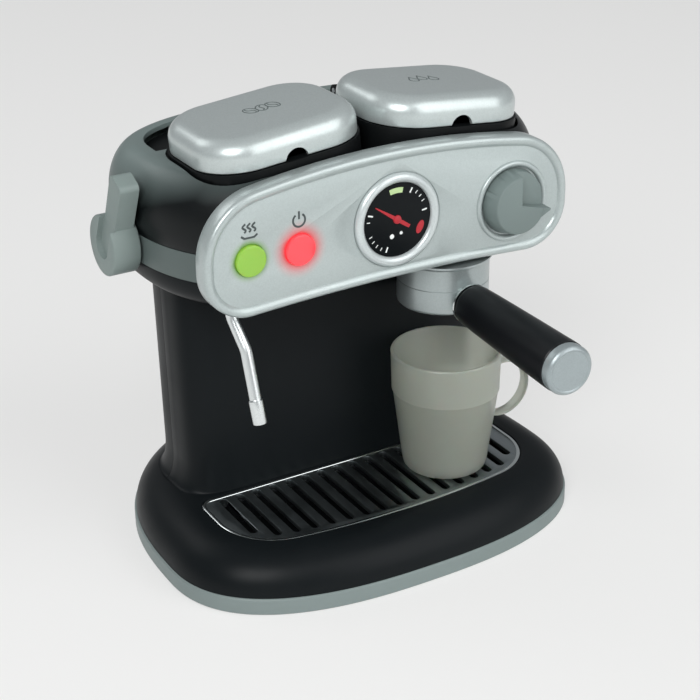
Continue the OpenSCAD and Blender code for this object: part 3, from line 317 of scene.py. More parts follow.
ACETAL = moulded("natural_acetal", ("#DDE2DF", "#D3D9D5"), (0.4, 0.5))
BOARD_GREEN = moulded("circuit_board_laminate", ("#2F6B45", "#2A6140"), (0.4, 0.5), 0.5, 0.02)
CELL_WRAP = moulded("printed_cell_wrap", ("#5B7D92", "#4F7187"), (0.22, 0.3))
SPEAKER_PAPER = moulded("pressed_speaker_paper", ("#34393B", "#2C3133"), (0.7, 0.85), 0.8, 0.06)
ICON_GREY = moulded("printed_grey_ink", ("#3F4848", "#394141"), (0.45, 0.55))
MARK_GREY = moulded("shallow_relief_grey_ink", ("#5F6968", "#586160"), (0.4, 0.5))
DIAL_BLACK = moulded("gloss_black_print", ("#0B0E10", "#101416"), (0.2, 0.28), 2.5, 0.004, 0.12)
DIAL_WHITE = moulded("white_dial_ink", ("#E8ECEA", "#DDE2E0"), (0.4, 0.5))
DIAL_RED = moulded("red_dial_ink", ("#B3202C", "#A31B26"), (0.35, 0.45))
DIAL_GREEN = moulded("pale_green_dial_ink", ("#B9D19A", "#A9C48A"), (0.35, 0.45))


def zinc_plated_steel():
    """Zinc plated steel: a grey metal with a fine drawn mottling."""
    material, tree, shader, place = shade("zinc_plated_steel", "#B4B8BA", 0.32, Metallic=1.0)
    vary(tree, shader, place, ("#BBBFC1", "#A6ABAD"), (0.26, 0.42), 3)
    grain(tree, shader, place, 0.5, 0.01)
    return material


def black_abs_with_painted_sheen():
    """Satin black ABS with a painted sheen: grey painted in towards the back and the top, fading to near
    black at the front, for overhead light reflected on the shell.
    """
    material, tree, shader, place = shade("black_abs_painted_grey_sheen", "#4A5453", 0.36, IOR=1.52,
                                          Specular_IOR_Level=0.2)
    vary_gloss(tree, shader, place, (0.32, 0.44), 40)
    split = add(tree, "ShaderNodeSeparateXYZ", {"Vector": place})
    # painted sheen: lighter towards the back and towards the top, where the shell catches the overhead light
    back = add(tree, RANGE, {"Value": split.outputs["Y"], "From Min": -35 * MM, "From Max": 40 * MM})
    up = add(tree, RANGE, {"Value": split.outputs["Z"], "From Min": BAND_TOP * MM, "From Max": HEAD_TOP * MM})
    cloud = add(tree, NOISE, {"Vector": place, "Scale": per_metre(60), "Detail": 2.0})
    both = add(tree, MATH, (back, up), operation="ADD")
    drift = add(tree, MATH, (both, cloud), operation="ADD")
    # near black is the shell's own colour; the grey end of the ramp is the painted sheen
    ramp = add(tree, "ShaderNodeValToRGB", (add(tree, MATH, (drift, 0.45), operation="MULTIPLY"),))
    ramp.color_ramp.elements[0].position = 0.62
    ramp.color_ramp.elements[0].color = rgb("#0C1011")
    ramp.color_ramp.elements[1].position = 1.0
    ramp.color_ramp.elements[1].color = rgb("#73807E")
    tree.links.new(ramp.outputs["Color"], shader.inputs["Base Color"])
    grain(tree, shader, place, 0.9, 0.012)
    return material


def lit_cap(name, colour, glow, strength):
    """Translucent polystyrene cap over a lamp: saturated, soft inside and glossy outside."""
    material, tree, shader, place = shade(name, colour, 0.22, IOR=1.59, Transmission_Weight=0.15,
                                          Emission_Color=rgb(glow), Emission_Strength=strength,
                                          Subsurface_Weight=0.3, Subsurface_Scale=0.004)
    vary_gloss(tree, shader, place, (0.18, 0.28), 6)
    grain(tree, shader, place, 1.5, 0.01)
    return material


def frosted_cup():
    """Frosted polypropylene: milky, warm grey, with light passing through the wall."""
    material, tree, shader, place = shade("frosted_polypropylene", "#D3D7CC", 0.36, IOR=1.49,
                                          Transmission_Weight=0.74, Subsurface_Weight=0.1,
                                          Subsurface_Scale=0.006)
    vary(tree, shader, place, ("#DFE3D8", "#D3D8CD"), (0.3, 0.42), 20)
    grain(tree, shader, place, 1.0, 0.02)
    return material


def clear_hose():
    """Soft clear vinyl tube, slightly milky."""
    material, tree, shader, place = shade("clear_vinyl", "#DDE5E1", 0.25, IOR=1.5,
                                          Transmission_Weight=0.6)
    vary(tree, shader, place, ("#DDE5E1", "#D2DBD6"), (0.2, 0.3), 15)
    return material


def panel_silver():
    """Silver sprayed panel with a painted glow round the lit caps: each cap's light is painted in as a tint
    of the lacquer colour and as light given off by the panel.
    """
    material = sprayed_silver("panel_silver_sprayed_abs", ("#B2BCBB", "#ABB5B4"), (0.3, 0.38), 0.4)
    tree = material.node_tree
    shader = tree.nodes["Principled BSDF"]
    place = add(tree, "ShaderNodeTexCoord").outputs["Object"]
    spot = add(tree, "ShaderNodeSeparateXYZ", {"Vector": place}).outputs
    lacquer_and_painted_glow = shader.inputs["Base Color"].links[0].from_socket
    painted_glows = []
    # painted light: a soft pool of each cap's colour round it, fading out over its reach
    for x, colour, strength, reach in ((RED_X, "#E8343C", 0.5, 8), (GREEN_X, "#8FC63F", 0.12, 4)):
        off_x = add(tree, MATH, (spot["X"], x * MM), operation="SUBTRACT")
        off_z = add(tree, MATH, (spot["Z"], BUTTON_Z * MM), operation="SUBTRACT")
        away = add(tree, "ShaderNodeCombineXYZ", {"X": off_x, "Z": off_z})
        far = add(tree, VECTOR_MATH, (away,), operation="LENGTH").outputs["Value"]
        near = add(tree, RANGE, {"Value": far, "From Min": (BUTTON_R + reach) * MM,
                                 "From Max": BUTTON_R * MM})
        fall = add(tree, MATH, (near, 1.8), operation="POWER")
        channels = rgb(colour)[:3]
        tint = [channel * strength for channel in channels]
        painted_glows.append(add(tree, VECTOR_MATH, {0: tint, "Scale": fall}, operation="SCALE"))
        dimmed = [1 - 0.85 * (1 - channel) for channel in channels]
        filtered = add(tree, VECTOR_MATH, (lacquer_and_painted_glow, dimmed), operation="MULTIPLY")
        change = add(tree, VECTOR_MATH, (filtered, lacquer_and_painted_glow), operation="SUBTRACT")
        share = add(tree, VECTOR_MATH, {0: change, "Scale": fall}, operation="SCALE")
        lacquer_and_painted_glow = add(tree, VECTOR_MATH, (lacquer_and_painted_glow, share), operation="ADD")
    glow = add(tree, VECTOR_MATH, painted_glows, operation="ADD")
    tree.links.new(lacquer_and_painted_glow.outputs["Vector"], shader.inputs["Base Color"])
    # the panel gives off the painted glow, though it is no lamp
    tree.links.new(glow.outputs["Vector"], shader.inputs["Emission Color"])
    shader.inputs["Emission Strength"].default_value = 1.0
    return material


STEEL = zinc_plated_steel()
PANEL_SILVER = panel_silver()
BLACK_ABS_PAINTED_SHEEN = black_abs_with_painted_sheen()
GREEN_CAP = lit_cap("green_translucent_cap", "#8BB944", "#8FC63F", 0.14)
RED_CAP = lit_cap("red_translucent_cap", "#E8454C", "#FF3E48", 0.42)
CUP_FROST = frosted_cup()
HOSE_VINYL = clear_hose()


# ---- mesh tools ---------------------------------------------------------------------------------

def piece_from(name, points, faces):
    """Mesh piece from points in millimetres."""
    mesh = bpy.data.meshes.new(name)
    mesh.from_pydata([[c * MM for c in point] for point in points], [], faces)
    piece = bpy.data.objects.new(name, mesh)
    bpy.context.collection.objects.link(piece)
    return piece


def tidy(piece, sharp=32):
    """Merges doubles, turns faces outwards, and shades smooth up to the sharp angle."""
    work = bmesh.new()
    work.from_mesh(piece.data)
    bmesh.ops.remove_doubles(work, verts=work.verts, dist=1e-6)
    bmesh.ops.recalc_face_normals(work, faces=work.faces)
    for face in work.faces:
        face.smooth = True
    work.to_mesh(piece.data)
    work.free()
    piece.data.set_sharp_from_angle(angle=math.radians(sharp))
    return piece


def settle(piece):
    """Applies the live modifiers, so that the piece is a plain mesh."""
    graph = bpy.context.evaluated_depsgraph_get()
    mesh = bpy.data.meshes.new_from_object(piece.evaluated_get(graph))
    piece.modifiers.clear()
    old = piece.data
    piece.data = mesh
    bpy.data.meshes.remove(old)
    return piece


def carve(piece, *cutters, operation="DIFFERENCE"):
    """Cuts, joins or keeps the common part of solids, then drops the cutters."""
    for cutter in cutters:
        step = piece.modifiers.new("carve", "BOOLEAN")
        step.object = cutter
        step.operation = operation
        step.solver = "EXACT"
        settle(piece)
        bpy.data.objects.remove(cutter)
    return piece


def soften(piece, width, segments=3, angle=38):
    """Rounds the sharp edges, as a mould does."""
    step = piece.modifiers.new("soften", "BEVEL")
    step.width = width * MM
    step.segments = segments
    step.limit_method = "ANGLE"
    step.angle_limit = math.radians(angle)
    step.use_clamp_overlap = True
    settle(piece)
    return tidy(piece, 40)


def join(piece, *others):
    """Joins other pieces' meshes into this one."""
    work = bmesh.new()
    for part in (piece, *others):
        work.from_mesh(part.data)
    work.to_mesh(piece.data)
    work.free()
    for part in others:
        bpy.data.objects.remove(part)
    return piece


def place(piece, matrix):
    """Moves the piece's mesh: the object itself stays at the origin."""
    piece.data.transform(matrix)
    return piece


def at(x, y, z, turn=0.0, axis="Z"):
    """Placement in millimetres, with a turn in degrees about one axis."""
    return Matrix.Translation((x * MM, y * MM, z * MM)) @ Matrix.Rotation(math.radians(turn), 4, axis)


def dress(piece, material, body, *nodes):
    """Gives a piece its material and body, and hides the CAD nodes that it stands for."""
    piece.data.materials.clear()
    piece.data.materials.append(material)
    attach(piece, body)
    if nodes:
        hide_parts(*nodes)
    return piece


def loft(name, rings, closed=False):
    """Skin through rings of points. Its ends are capped, or joined where the loft is closed."""
    count = len(rings[0])
    points = [point for ring in rings for point in ring]
    spans = len(rings) if closed else len(rings) - 1
    faces = []
    for k in range(spans):
        a, b = k * count, (k + 1) % len(rings) * count
        faces += [(a + i, a + (i + 1) % count, b + (i + 1) % count, b + i) for i in range(count)]
    if not closed:
        faces.append(tuple(range(count)))
        faces.append(tuple(range(len(points) - count, len(points))))
    return tidy(piece_from(name, points, faces))


def level(outline, z):
    """Ring of points from an outline in X and Y."""
    return [(x, y, z) for x, y in outline]


def upright(outline, y):
    """Ring of points from an outline in X and Z."""
    return [(x, y, z) for x, z in outline]


def turns(count):
    """Angles of a full turn, in radians."""
    return [math.tau * i / count for i in range(count)]


def quarter(count):
    """Angles from 0 to 90 degrees, in radians."""
    return [math.radians(90 * i / count) for i in range(count + 1)]


def moved(profile, radius=0.0, height=0.0):
    """Profile whose points are given from a radius and a height."""
    return [(radius + out, height + up) for out, up in profile]


def lathe(name, profile, count=96):
    """Solid turned about Z from (radius, height) points: from the axis, round, back to the axis."""
    points = []
    rows = []
    for radius, height in profile:
        if radius == 0:
            rows.append([len(points)])
            points.append((0, 0, height))
            continue
        rows.append(list(range(len(points), len(points) + count)))
        points += [(radius * math.cos(a), radius * math.sin(a), height) for a in turns(count)]
    faces = []
    pairs = list(zip(rows, rows[1:]))
    if profile[0][0] > 0:
        pairs.append((rows[-1], rows[0]))
    for low, high in pairs:
        for i in range(count):
            j = (i + 1) % count
            quad = [low[i % len(low)], low[j % len(low)], high[j % len(high)], high[i % len(high)]]
            corners = list(dict.fromkeys(quad))
            if len(corners) > 2:
                faces.append(tuple(corners))
    return tidy(piece_from(name, points, faces))


def arc(centre, radius, start, stop, count):
    """Points of an arc, angles in degrees."""
    angles = [math.radians(start + (stop - start) * i / count) for i in range(count + 1)]
    return [(centre[0] + radius * math.cos(a), centre[1] + radius * math.sin(a)) for a in angles]


def block(low, high):
    """Box between two corners, as a cutter or a rib."""
    corners = list(product(*zip(low, high)))
    faces = [(0, 1, 3, 2), (4, 6, 7, 5), (0, 4, 5, 1), (2, 3, 7, 6), (0, 2, 6, 4), (1, 5, 7, 3)]
    return tidy(piece_from("block", corners, faces))


def rod(start, stop, radius, count=64):
    """Round bar between two points, as a cutter or a boss."""
    start, stop = Vector(start), Vector(stop)
    long = (stop - start).length
    bar = lathe("rod", [(0, 0), (radius, 0), (radius, long), (0, long)], count)
    turn = (stop - start).to_track_quat("Z", "Y").to_matrix().to_4x4()
    return place(bar, Matrix.Translation(start * MM) @ turn)


def flatten(piece, merge=0.02):
    """Merges near doubles and dissolves flat facets, so that the edges can be rounded cleanly."""
    work = bmesh.new()
    work.from_mesh(piece.data)
    bmesh.ops.remove_doubles(work, verts=work.verts, dist=merge * MM)
    work.to_mesh(piece.data)
    work.free()
    step = piece.modifiers.new("flat", "DECIMATE")
    step.decimate_type = "DISSOLVE"
    step.angle_limit = math.radians(0.4)
    return settle(piece)


def smooth_copy(node_name, width, segments=2):
    """Merged copy of a CAD node with rounded edges and smooth round faces."""
    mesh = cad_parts[node_name].data.copy()
    piece = bpy.data.objects.new(node_name + "_finished", mesh)
    bpy.context.collection.objects.link(piece)
    mesh.materials.clear()
    tidy(piece)
    return soften(flatten(piece, 0.001), width, segments)


# ---- outlines -----------------------------------------------------------------------------------

def oval(half_w, front, back, mid, front_power=OVAL_POWER, back_power=OVAL_POWER):
    """Rounded oval, widest at mid."""
    outline = []
    for i in range(OVAL_COUNT):
        t = math.tau * (i + 0.5) / OVAL_COUNT
        power = front_power if math.sin(t) < 0 else back_power
        reach = mid - front if math.sin(t) < 0 else back - mid
        x = math.copysign(abs(math.cos(t)) ** (2 / power), math.cos(t))
        y = math.copysign(abs(math.sin(t)) ** (2 / power), math.sin(t))
        outline.append((half_w * x, mid + reach * y))
    return outline


def base_oval(inset):
    """Outline of the base."""
    return oval(BASE_W / 2 - inset, inset - BASE_FRONT, BASE_BACK - inset, BASE_MID_Y)


def column_oval(inset, flare=0.0):
    """Outline of the column, wider by its flare at the foot and at the top."""
    return oval(COLUMN_W / 2 + flare - inset, COLUMN_FRONT + inset, COLUMN_BACK + flare / 2 - inset,
                COLUMN_MID, 5, OVAL_POWER)


def head_oval(inset):
    """Outline of the head."""
    return oval(HEAD_W / 2 - inset, HEAD_NOSE + inset, HEAD_BACK - inset, HEAD_MID)


def rounded_rect(width, depth, corner, steps=14):
    """Rectangle with round corners."""
    outline = []
    for i, (sx, sy) in enumerate(((1, 1), (-1, 1), (-1, -1), (1, -1))):
        centre = (sx * (width / 2 - corner), sy * (depth / 2 - corner))
        outline += arc(centre, corner, 90 * i, 90 * (i + 1), steps)
    return outline


def grille_outline(inset):
    """Outline of the drip grille: a bowed front edge, two large and two small corners."""
    half_w = GRILLE_W / 2 - inset
    corner = GRILLE_CORNER - inset
    small = max(GRILLE_BACK_CORNER - inset, 1)
    back = GRILLE_BACK - inset
    bow = GRILLE_BOW - inset
    bow_y = GRILLE_BOW - GRILLE_FRONT
    corner_x = half_w - corner
    corner_y = bow_y - math.sqrt((bow - corner) ** 2 - corner_x ** 2)
    touch = math.degrees(math.atan2(corner_y - bow_y, corner_x))
    outline = arc((0, bow_y), bow, -180 - touch, touch, 60)
    outline += arc((corner_x, corner_y), corner, touch, 0, 20)[1:]
    outline += arc((half_w - small, back - small), small, 0, 90, 8)
    outline += arc((small - half_w, back - small), small, 90, 180, 8)
    outline += arc((-corner_x, corner_y), corner, 180, 360 - 180 - touch, 20)[:-1]
    return outline


def panel_outline(inset):
    """Outline of the front panel in X and Z: an arched top, round ends and a slightly arched foot."""
    top_z = PANEL_TOP - PANEL_ARCH
    drop = top_z - PANEL_MID
    half_w = PANEL_W / 2
    end_r = (PANEL_ARCH ** 2 - half_w ** 2 - drop ** 2) / (2 * (PANEL_ARCH - half_w))
    end_x = half_w - end_r
    low_x = half_w - PANEL_LOW_R
    foot_z = PANEL_LOW - PANEL_LOW_ARCH
    low_z = foot_z + math.sqrt((PANEL_LOW_ARCH + PANEL_LOW_R) ** 2 - low_x ** 2)
    end = math.degrees(math.atan2(PANEL_MID - top_z, end_x))
    foot = math.degrees(math.atan2(low_z - foot_z, low_x))
    outline = arc((0, top_z), PANEL_ARCH - inset, 180 - end, end, 64)
    outline += arc((end_x, PANEL_MID), end_r - inset, end, 0, 24)[1:]
    outline += arc((low_x, low_z), PANEL_LOW_R - inset, 0, foot - 180, 24)
    outline += arc((0, foot_z), PANEL_LOW_ARCH + inset, foot, 180 - foot, 64)[1:]
    outline += arc((-low_x, low_z), PANEL_LOW_R - inset, -foot, -180, 24)[1:]
    outline += arc((-end_x, PANEL_MID), end_r - inset, 180, 180 - end, 24)[:-1]
    return outline


# ---- base ---------------------------------------------------------------------------------------

def make_base_ring():
    """Grey ring and floor of the base, with a rounded top edge."""
    foot_bevel = 0.8
    edge_r = 1.3
    ledge_w = 5.4
    rings = [level(base_oval(foot_bevel), 0), level(base_oval(0), foot_bevel),
             level(base_oval(0), RING_H - edge_r)]
    rings += [level(base_oval(edge_r * (1 - math.cos(q))), RING_H - edge_r * (1 - math.sin(q)))
              for q in quarter(4)[1:]]
    rings += [level(base_oval(ledge_w), RING_H), level(base_oval(ledge_w), RING_H - WALL),
              level(base_oval(WALL), RING_H - WALL), level(base_oval(WALL), WALL)]
    ring = loft("base_ring", rings)
    door_low, door_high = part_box("battery_door")
    mid_x = (door_low.x + door_high.x) / 2 / MM
    past_tongues = 0.65  # the door's tongues reach out of the opening in front
    mid_y = (door_low.y + door_high.y) / 2 / MM + past_tongues
    opening = [(mid_x + x, mid_y + y) for x, y in rounded_rect(*DOOR_OPENING)]
    carve(ring, loft("opening", [level(opening, -1), level(opening, WALL + 1)]))
    speaker_low, speaker_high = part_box("speaker")
    centre = (speaker_low + speaker_high) / 2 / MM
    # six sound holes in a ring, and one in its middle
    for x, y in arc(centre, SOUND_RING_R, 0, 300, 5) + [(centre.x, centre.y)]:
        carve(ring, rod((x, y, -1), (x, y, WALL + 1), SOUND_HOLE_R, 20))
    return dress(tidy(ring), RING_GREY_ABS, "body", "base_tray")


def make_base_skirt():
    """Black skirt with a quarter round shoulder and a well for the drip tray."""
    rise = DECK_Z - RING_H
    flange_z = DECK_Z - GRILLE_T - TRAY_FLANGE
    outer = [level(base_oval(RING_LEDGE + SKIRT_ROUND * (1 - math.cos(q))), RING_H + rise * math.sin(q))
             for q in quarter(24)]
    inner = [level(base_oval(RING_LEDGE + WALL), RING_H - 1)]
    inner += [level(base_oval(RING_LEDGE + WALL + SKIRT_ROUND * (1 - math.cos(q))),
                    RING_H + (rise - WALL) * math.sin(q)) for q in quarter(8)]
    skirt = carve(loft("base_skirt_shell", outer), loft("hollow", inner))
    wide = grille_outline(-SLIP - 2)
    carve(skirt, loft("well", [level(wide, flange_z - 2), level(wide, DECK_Z - 1)]), operation="UNION")
    mouth = grille_outline(-SLIP)
    carve(skirt, loft("mouth", [level(mouth, flange_z), level(mouth, DECK_Z + 1)]))
    pan = grille_outline(4)
    carve(skirt, loft("pan", [level(pan, flange_z - 3), level(pan, DECK_Z + 1)]))
    soften(skirt, 0.5, 3)
    return dress(skirt, BLACK_ABS, "body", "base_skirt")


def make_drip_tray():
    """Black pan under the grille."""
    tray = smooth_copy("drip_tray", 0.4)
    return dress(tray, DEEP_BLACK_ABS, "tray", "drip_tray")


def begin_tree(name, *lengths, **others):
    """Geometry nodes tree with named inputs: number inputs, then inputs of other kinds."""
    tree = bpy.data.node_groups.new(name, "GeometryNodeTree")
    tree.interface.new_socket("Geometry", in_out="OUTPUT", socket_type="NodeSocketGeometry")
    for label, kind in {**others, **dict.fromkeys(lengths, "Float"), "Material": "Material"}.items():
        tree.interface.new_socket(label, in_out="INPUT", socket_type="NodeSocket" + kind)
    return tree, add(tree, "NodeGroupInput").outputs


def end_tree(tree, shape, material):
    """Makes the instances real, gives them their material and sends them to the tree's output."""
    real = add(tree, "GeometryNodeRealizeInstances", (shape,))
    finish = add(tree, "GeometryNodeSetMaterial", {"Geometry": real, "Material": material})
    add(tree, "NodeGroupOutput", (finish,))
    return tree


def slot_tree():
    """Geometry nodes: round ended slots side by side, each as long as the bowed front lets it be."""
    tree, given = begin_tree("grille_slots", "Pitch", "Width", "Back", "Bow Radius", "Bow Centre",
                             "Corner Radius", "Corner X", "Corner Y", "Low", "Height", Slots="Int")

    def circle_front(centre, radius, aside):
        """Front of a circle, at a distance to the side of its centre."""
        radius_square = add(tree, MATH, (radius, 2.0), operation="POWER")
        aside_square = add(tree, MATH, (aside, 2.0), operation="POWER")
        rest = add(tree, MATH, (radius_square, aside_square), operation="SUBTRACT")
        depth = add(tree, MATH, (add(tree, MATH, (rest, 0.0), operation="MAXIMUM"),), operation="SQRT")
        return add(tree, MATH, (centre, depth), operation="SUBTRACT")

    # each slot has two points: the first at the back and the second in front
    index = add(tree, "GeometryNodeInputIndex")
    slot = add(tree, MATH, (add(tree, MATH, (index, 2.0), operation="DIVIDE"),), operation="FLOOR")
    is_front = add(tree, MATH, (index, 2.0), operation="MODULO")
    last = add(tree, MATH, (given["Slots"], 1.0), operation="SUBTRACT")
    middle = add(tree, MATH, (last, 2.0), operation="DIVIDE")
    from_middle = add(tree, MATH, (slot, middle), operation="SUBTRACT")
    x = add(tree, MATH, (from_middle, given["Pitch"]), operation="MULTIPLY")
    bow = circle_front(given["Bow Centre"], given["Bow Radius"], x)
    aside = add(tree, MATH, (x,), operation="ABSOLUTE")
    beyond = add(tree, MATH, (aside, given["Corner X"]), operation="SUBTRACT")
    past = add(tree, MATH, (beyond, 0.0), operation="MAXIMUM")
    corner = circle_front(given["Corner Y"], given["Corner Radius"], past)
    in_corner = add(tree, "FunctionNodeCompare", (past, 0.0), operation="GREATER_THAN")
    front = add(tree, "GeometryNodeSwitch", (in_corner, bow, corner), input_type="FLOAT")
    y = add(tree, "GeometryNodeSwitch", (is_front, given["Back"], front), input_type="FLOAT")
    spot = add(tree, "ShaderNodeCombineXYZ", (x, y, given["Low"]))
    total = add(tree, MATH, (given["Slots"], 2.0), operation="MULTIPLY")
    points = add(tree, "GeometryNodePoints", {"Count": total, "Position": spot})
    lines = add(tree, "GeometryNodePointsToCurves", {"Points": points, "Curve Group ID": slot})
    tall = add(tree, MATH, (given["Height"], 2.0), operation="MULTIPLY")
    bar = add(tree, "GeometryNodeCurvePrimitiveQuadrilateral", {"Width": given["Width"], "Height": tall})
    bars = add(tree, "GeometryNodeCurveToMesh", {"Curve": lines, "Profile Curve": bar, "Fill Caps": True})
    end_r = add(tree, MATH, (given["Width"], 2.0), operation="DIVIDE")
    ends = add(tree, "GeometryNodeMeshCylinder", {"Vertices": 28, "Depth": tall, "Radius": end_r})
    round_ends = add(tree, "GeometryNodeInstanceOnPoints", {"Points": points, "Instance": ends})
    real = add(tree, "GeometryNodeRealizeInstances", (round_ends,))
    union = add(tree, "GeometryNodeMeshBoolean", operation="UNION")
    for solid in (bars, real):
        tree.links.new(solid.outputs[0], union.inputs["Mesh 2"])
    return end_tree(tree, union, given["Material"])


def grow(name, tree, points=(), **values):
    """Plain mesh piece from a geometry nodes tree whose inputs are set by their names."""
    piece = piece_from(name, points, [])
    step = piece.modifiers.new(name, "NODES")
    step.node_group = tree
    for item in tree.interface.items_tree:
        if item.in_out == "INPUT" and item.name in values:
            step[item.identifier] = values[item.name]
    return settle(piece)


def make_drip_grille():
    """Smoked plated grille: a flat plate with rounded slots inside a bright raised rim."""
    plate_top = DECK_Z - 0.5
    rim_w = 2.4
    edge_gap = 0.4
    outline = grille_outline(edge_gap)
    plate = loft("drip_grille_plate", [level(outline, DECK_Z - GRILLE_T), level(outline, plate_top)])
    edge_in = 8
    corner = GRILLE_CORNER - edge_in
    corner_x = GRILLE_W / 2 - edge_in - corner
    bow_y = GRILLE_BOW - GRILLE_FRONT
    corner_y = bow_y - math.sqrt((GRILLE_BOW - edge_in - corner) ** 2 - corner_x ** 2)
    sizes = {"Pitch": 10, "Width": 4.6, "Back": COLUMN_FRONT - 6, "Low": DECK_Z - 1.5, "Height": 4,
             "Bow Radius": GRILLE_BOW - edge_in, "Bow Centre": bow_y,
             "Corner Radius": corner, "Corner X": corner_x, "Corner Y": corner_y}
    slots = grow("slots", slot_tree(), Slots=17, Material=DARK_PLATE,
                 **{label: size * MM for label, size in sizes.items()})
    carve(plate, flatten(slots))
    soften(flatten(plate), 0.3, 2)
    dress(plate, DARK_PLATE, "grille", "drip_grille")
    section = [(0.0, -GRILLE_T), (0.0, -0.9), (0.25, -0.3), (0.8, 0.0), (1.6, 0.0), (2.1, -0.25),
               (rim_w, -0.8), (rim_w, -GRILLE_T)]
    rings = [level(grille_outline(inset), DECK_Z + z) for inset, z in section]
    rim = loft("drip_grille_rim", rings, closed=True)
    dress(rim, BRIGHT_PLATE, "grille", "drip_grille")


# ---- column -------------------------------------------------------------------------------------

def column_shell(name):
    """Hollow column: it curves out at the foot and widens a little towards the top."""
    foot_h = 16
    rings = []
    for q in quarter(10):
        flare = COLUMN_FLARE_LOW * (1 - math.sin(q))
        rings.append(level(column_oval(0, flare), DECK_Z + foot_h * (1 - math.cos(q))))
    rings.append(level(column_oval(0, COLUMN_FLARE_TOP), UNDER_Z))
    hollow = [level(column_oval(WALL), DECK_Z - 1), level(column_oval(WALL), UNDER_Z + 1)]
    return carve(loft(name, rings), loft("hollow", hollow))


def make_column():
    """Two satin black halves that meet in a fine seam, with screw wells in the back one."""
    seam = 0.1
    wide, tall = 200, 300  # past every side of the column
    front = column_shell("column_front_shell")
    carve(front, block((-wide, COLUMN_MID, 0), (wide, wide, tall)))
    soften(front, 0.35, 2, 60)
    dress(front, BLACK_ABS, "body", "column_front")
    back = column_shell("column_back_shell")
    carve(back, block((-wide, -wide, 0), (wide, COLUMN_MID + seam, tall)))
    boss_r, well_r, well_floor = 5.6, 3.4, 6
    for x, z in product((-50, 50), (UNDER_Z - 105, UNDER_Z - 15)):
        boss = rod((x, COLUMN_MID + seam, z), (x, COLUMN_BACK - 2, z), boss_r, 40)
        carve(back, boss, operation="UNION")
        carve(back, rod((x, COLUMN_MID + well_floor, z), (x, COLUMN_BACK + 9, z), well_r, 40))
    soften(back, 0.35, 2, 60)
    dress(back, BLACK_ABS, "body", "column_back")


# ---- head ---------------------------------------------------------------------------------------

def before_front():
    """Cutter for everything in front of the head's front plane."""
    return block((-200, -300, 0), (200, HEAD_FRONT, 400))


def under_rings(inset, low, high, count):
    """Rings of the head's underside, from a narrower floor up to the band."""
    in_at_floor = 8
    return [level(head_oval(inset + in_at_floor * (1 - math.sin(q))), low + (high - low) * (1 - math.cos(q)))
            for q in quarter(count)]


def make_head_lower():
    """Black underside of the head, with holes for the column, the brewing head and the pipe."""
    under = loft("head_underside", under_rings(1, UNDER_Z, BAND_Z, 12))
    carve(under, loft("hollow", under_rings(1 + WALL, UNDER_Z + WALL, BAND_Z + 0.5, 6)), before_front())
    cable_r, brew_neck_r, pipe_r = 20, 12, 4.2
    for x, y, radius in ((0, COLUMN_MID, cable_r), (BREW_X, BREW_Y, brew_neck_r), (*PIPE[0][:2], pipe_r)):
        carve(under, rod((x, y, UNDER_Z - 1), (x, y, UNDER_Z + 4), radius))
    soften(under, 0.4, 2)
    dress(under, BLACK_ABS, "body", "head_lower")


def make_head_band():
    """Grey band round the head."""
    section = ((0, BAND_Z), (0, BAND_TOP), (1 + WALL, BAND_TOP), (1 + WALL, BAND_Z))
    band = loft("head_band_strip", [level(head_oval(inset), z) for inset, z in section], closed=True)
    shaft_hole_r = 5
    carve(band, before_front(), rod((-HEAD_W, CRANK_Y, CRANK_Z), (0, CRANK_Y, CRANK_Z), shaft_hole_r))
    soften(band, 0.9, 4)
    dress(band, GREY_ABS, "body", "head_band")


def lid_place(side):
    """Placement of the left (-1) or the right (1) lid, which leans outwards."""
    return at(side * LID_X, LID_Y, LID_Z) @ Matrix.Rotation(math.radians(side * LID_TILT), 4, "Y")


def shell_rings(thick, start, count):
    """Rings of the upper shell: it swells above its lower edge, then rounds over the top."""
    swell, inset, round_r = 2.1, 0.6, 13
    rings = []
    for i in range(count + 1):
        q = start + (math.pi / 2 - start) * i / count
        d = inset - swell + thick + (round_r + swell) * (1 - math.cos(q))
        rings.append(level(head_oval(d), SHELL_MID_Z + (HEAD_TOP - thick - SHELL_MID_Z) * math.sin(q)))
    return rings


def deck_opening():
    """Cutters of the opening over the deck: close round the two collars, and wide behind them."""
    grown = COLLAR_OUT + SLIP + 0.8
    rim_side, rim_front, rim_back = 17.8, 0.9, 18.9
    low = DECK_PLATE_Z
    high = HEAD_TOP + 2
    collar_d = LID_D + 2 * grown
    outline = rounded_rect(LID_W + 2 * grown, collar_d, LID_CORNER + grown)
    cutters = []
    for side in (-1, 1):
        hole = [(side * LID_X + x, LID_Y + y) for x, y in outline]
        cutters.append(loft("collar_hole", [level(hole, low), level(hole, high)]))
    cutters.append(block((-LID_X, LID_Y - collar_d / 2, low), (LID_X, LID_Y + collar_d / 2, high)))
    scoop_y = LID_Y + LID_D / 2 - 8
    wide = oval(HEAD_W / 2 - rim_side, HEAD_FRONT + rim_front, HEAD_BACK - rim_back, HEAD_MID, 9, 2.75)
    recess = [(x, max(y, scoop_y)) for x, y in wide]
    cutters.append(loft("recess", [level(recess, low - 4), level(recess, high)]))
    return cutters


def shell_start():
    """Angle of the shell's section at its lower edge, in radians."""
    return -math.asin((SHELL_MID_Z - BAND_TOP) / (HEAD_TOP - SHELL_MID_Z))


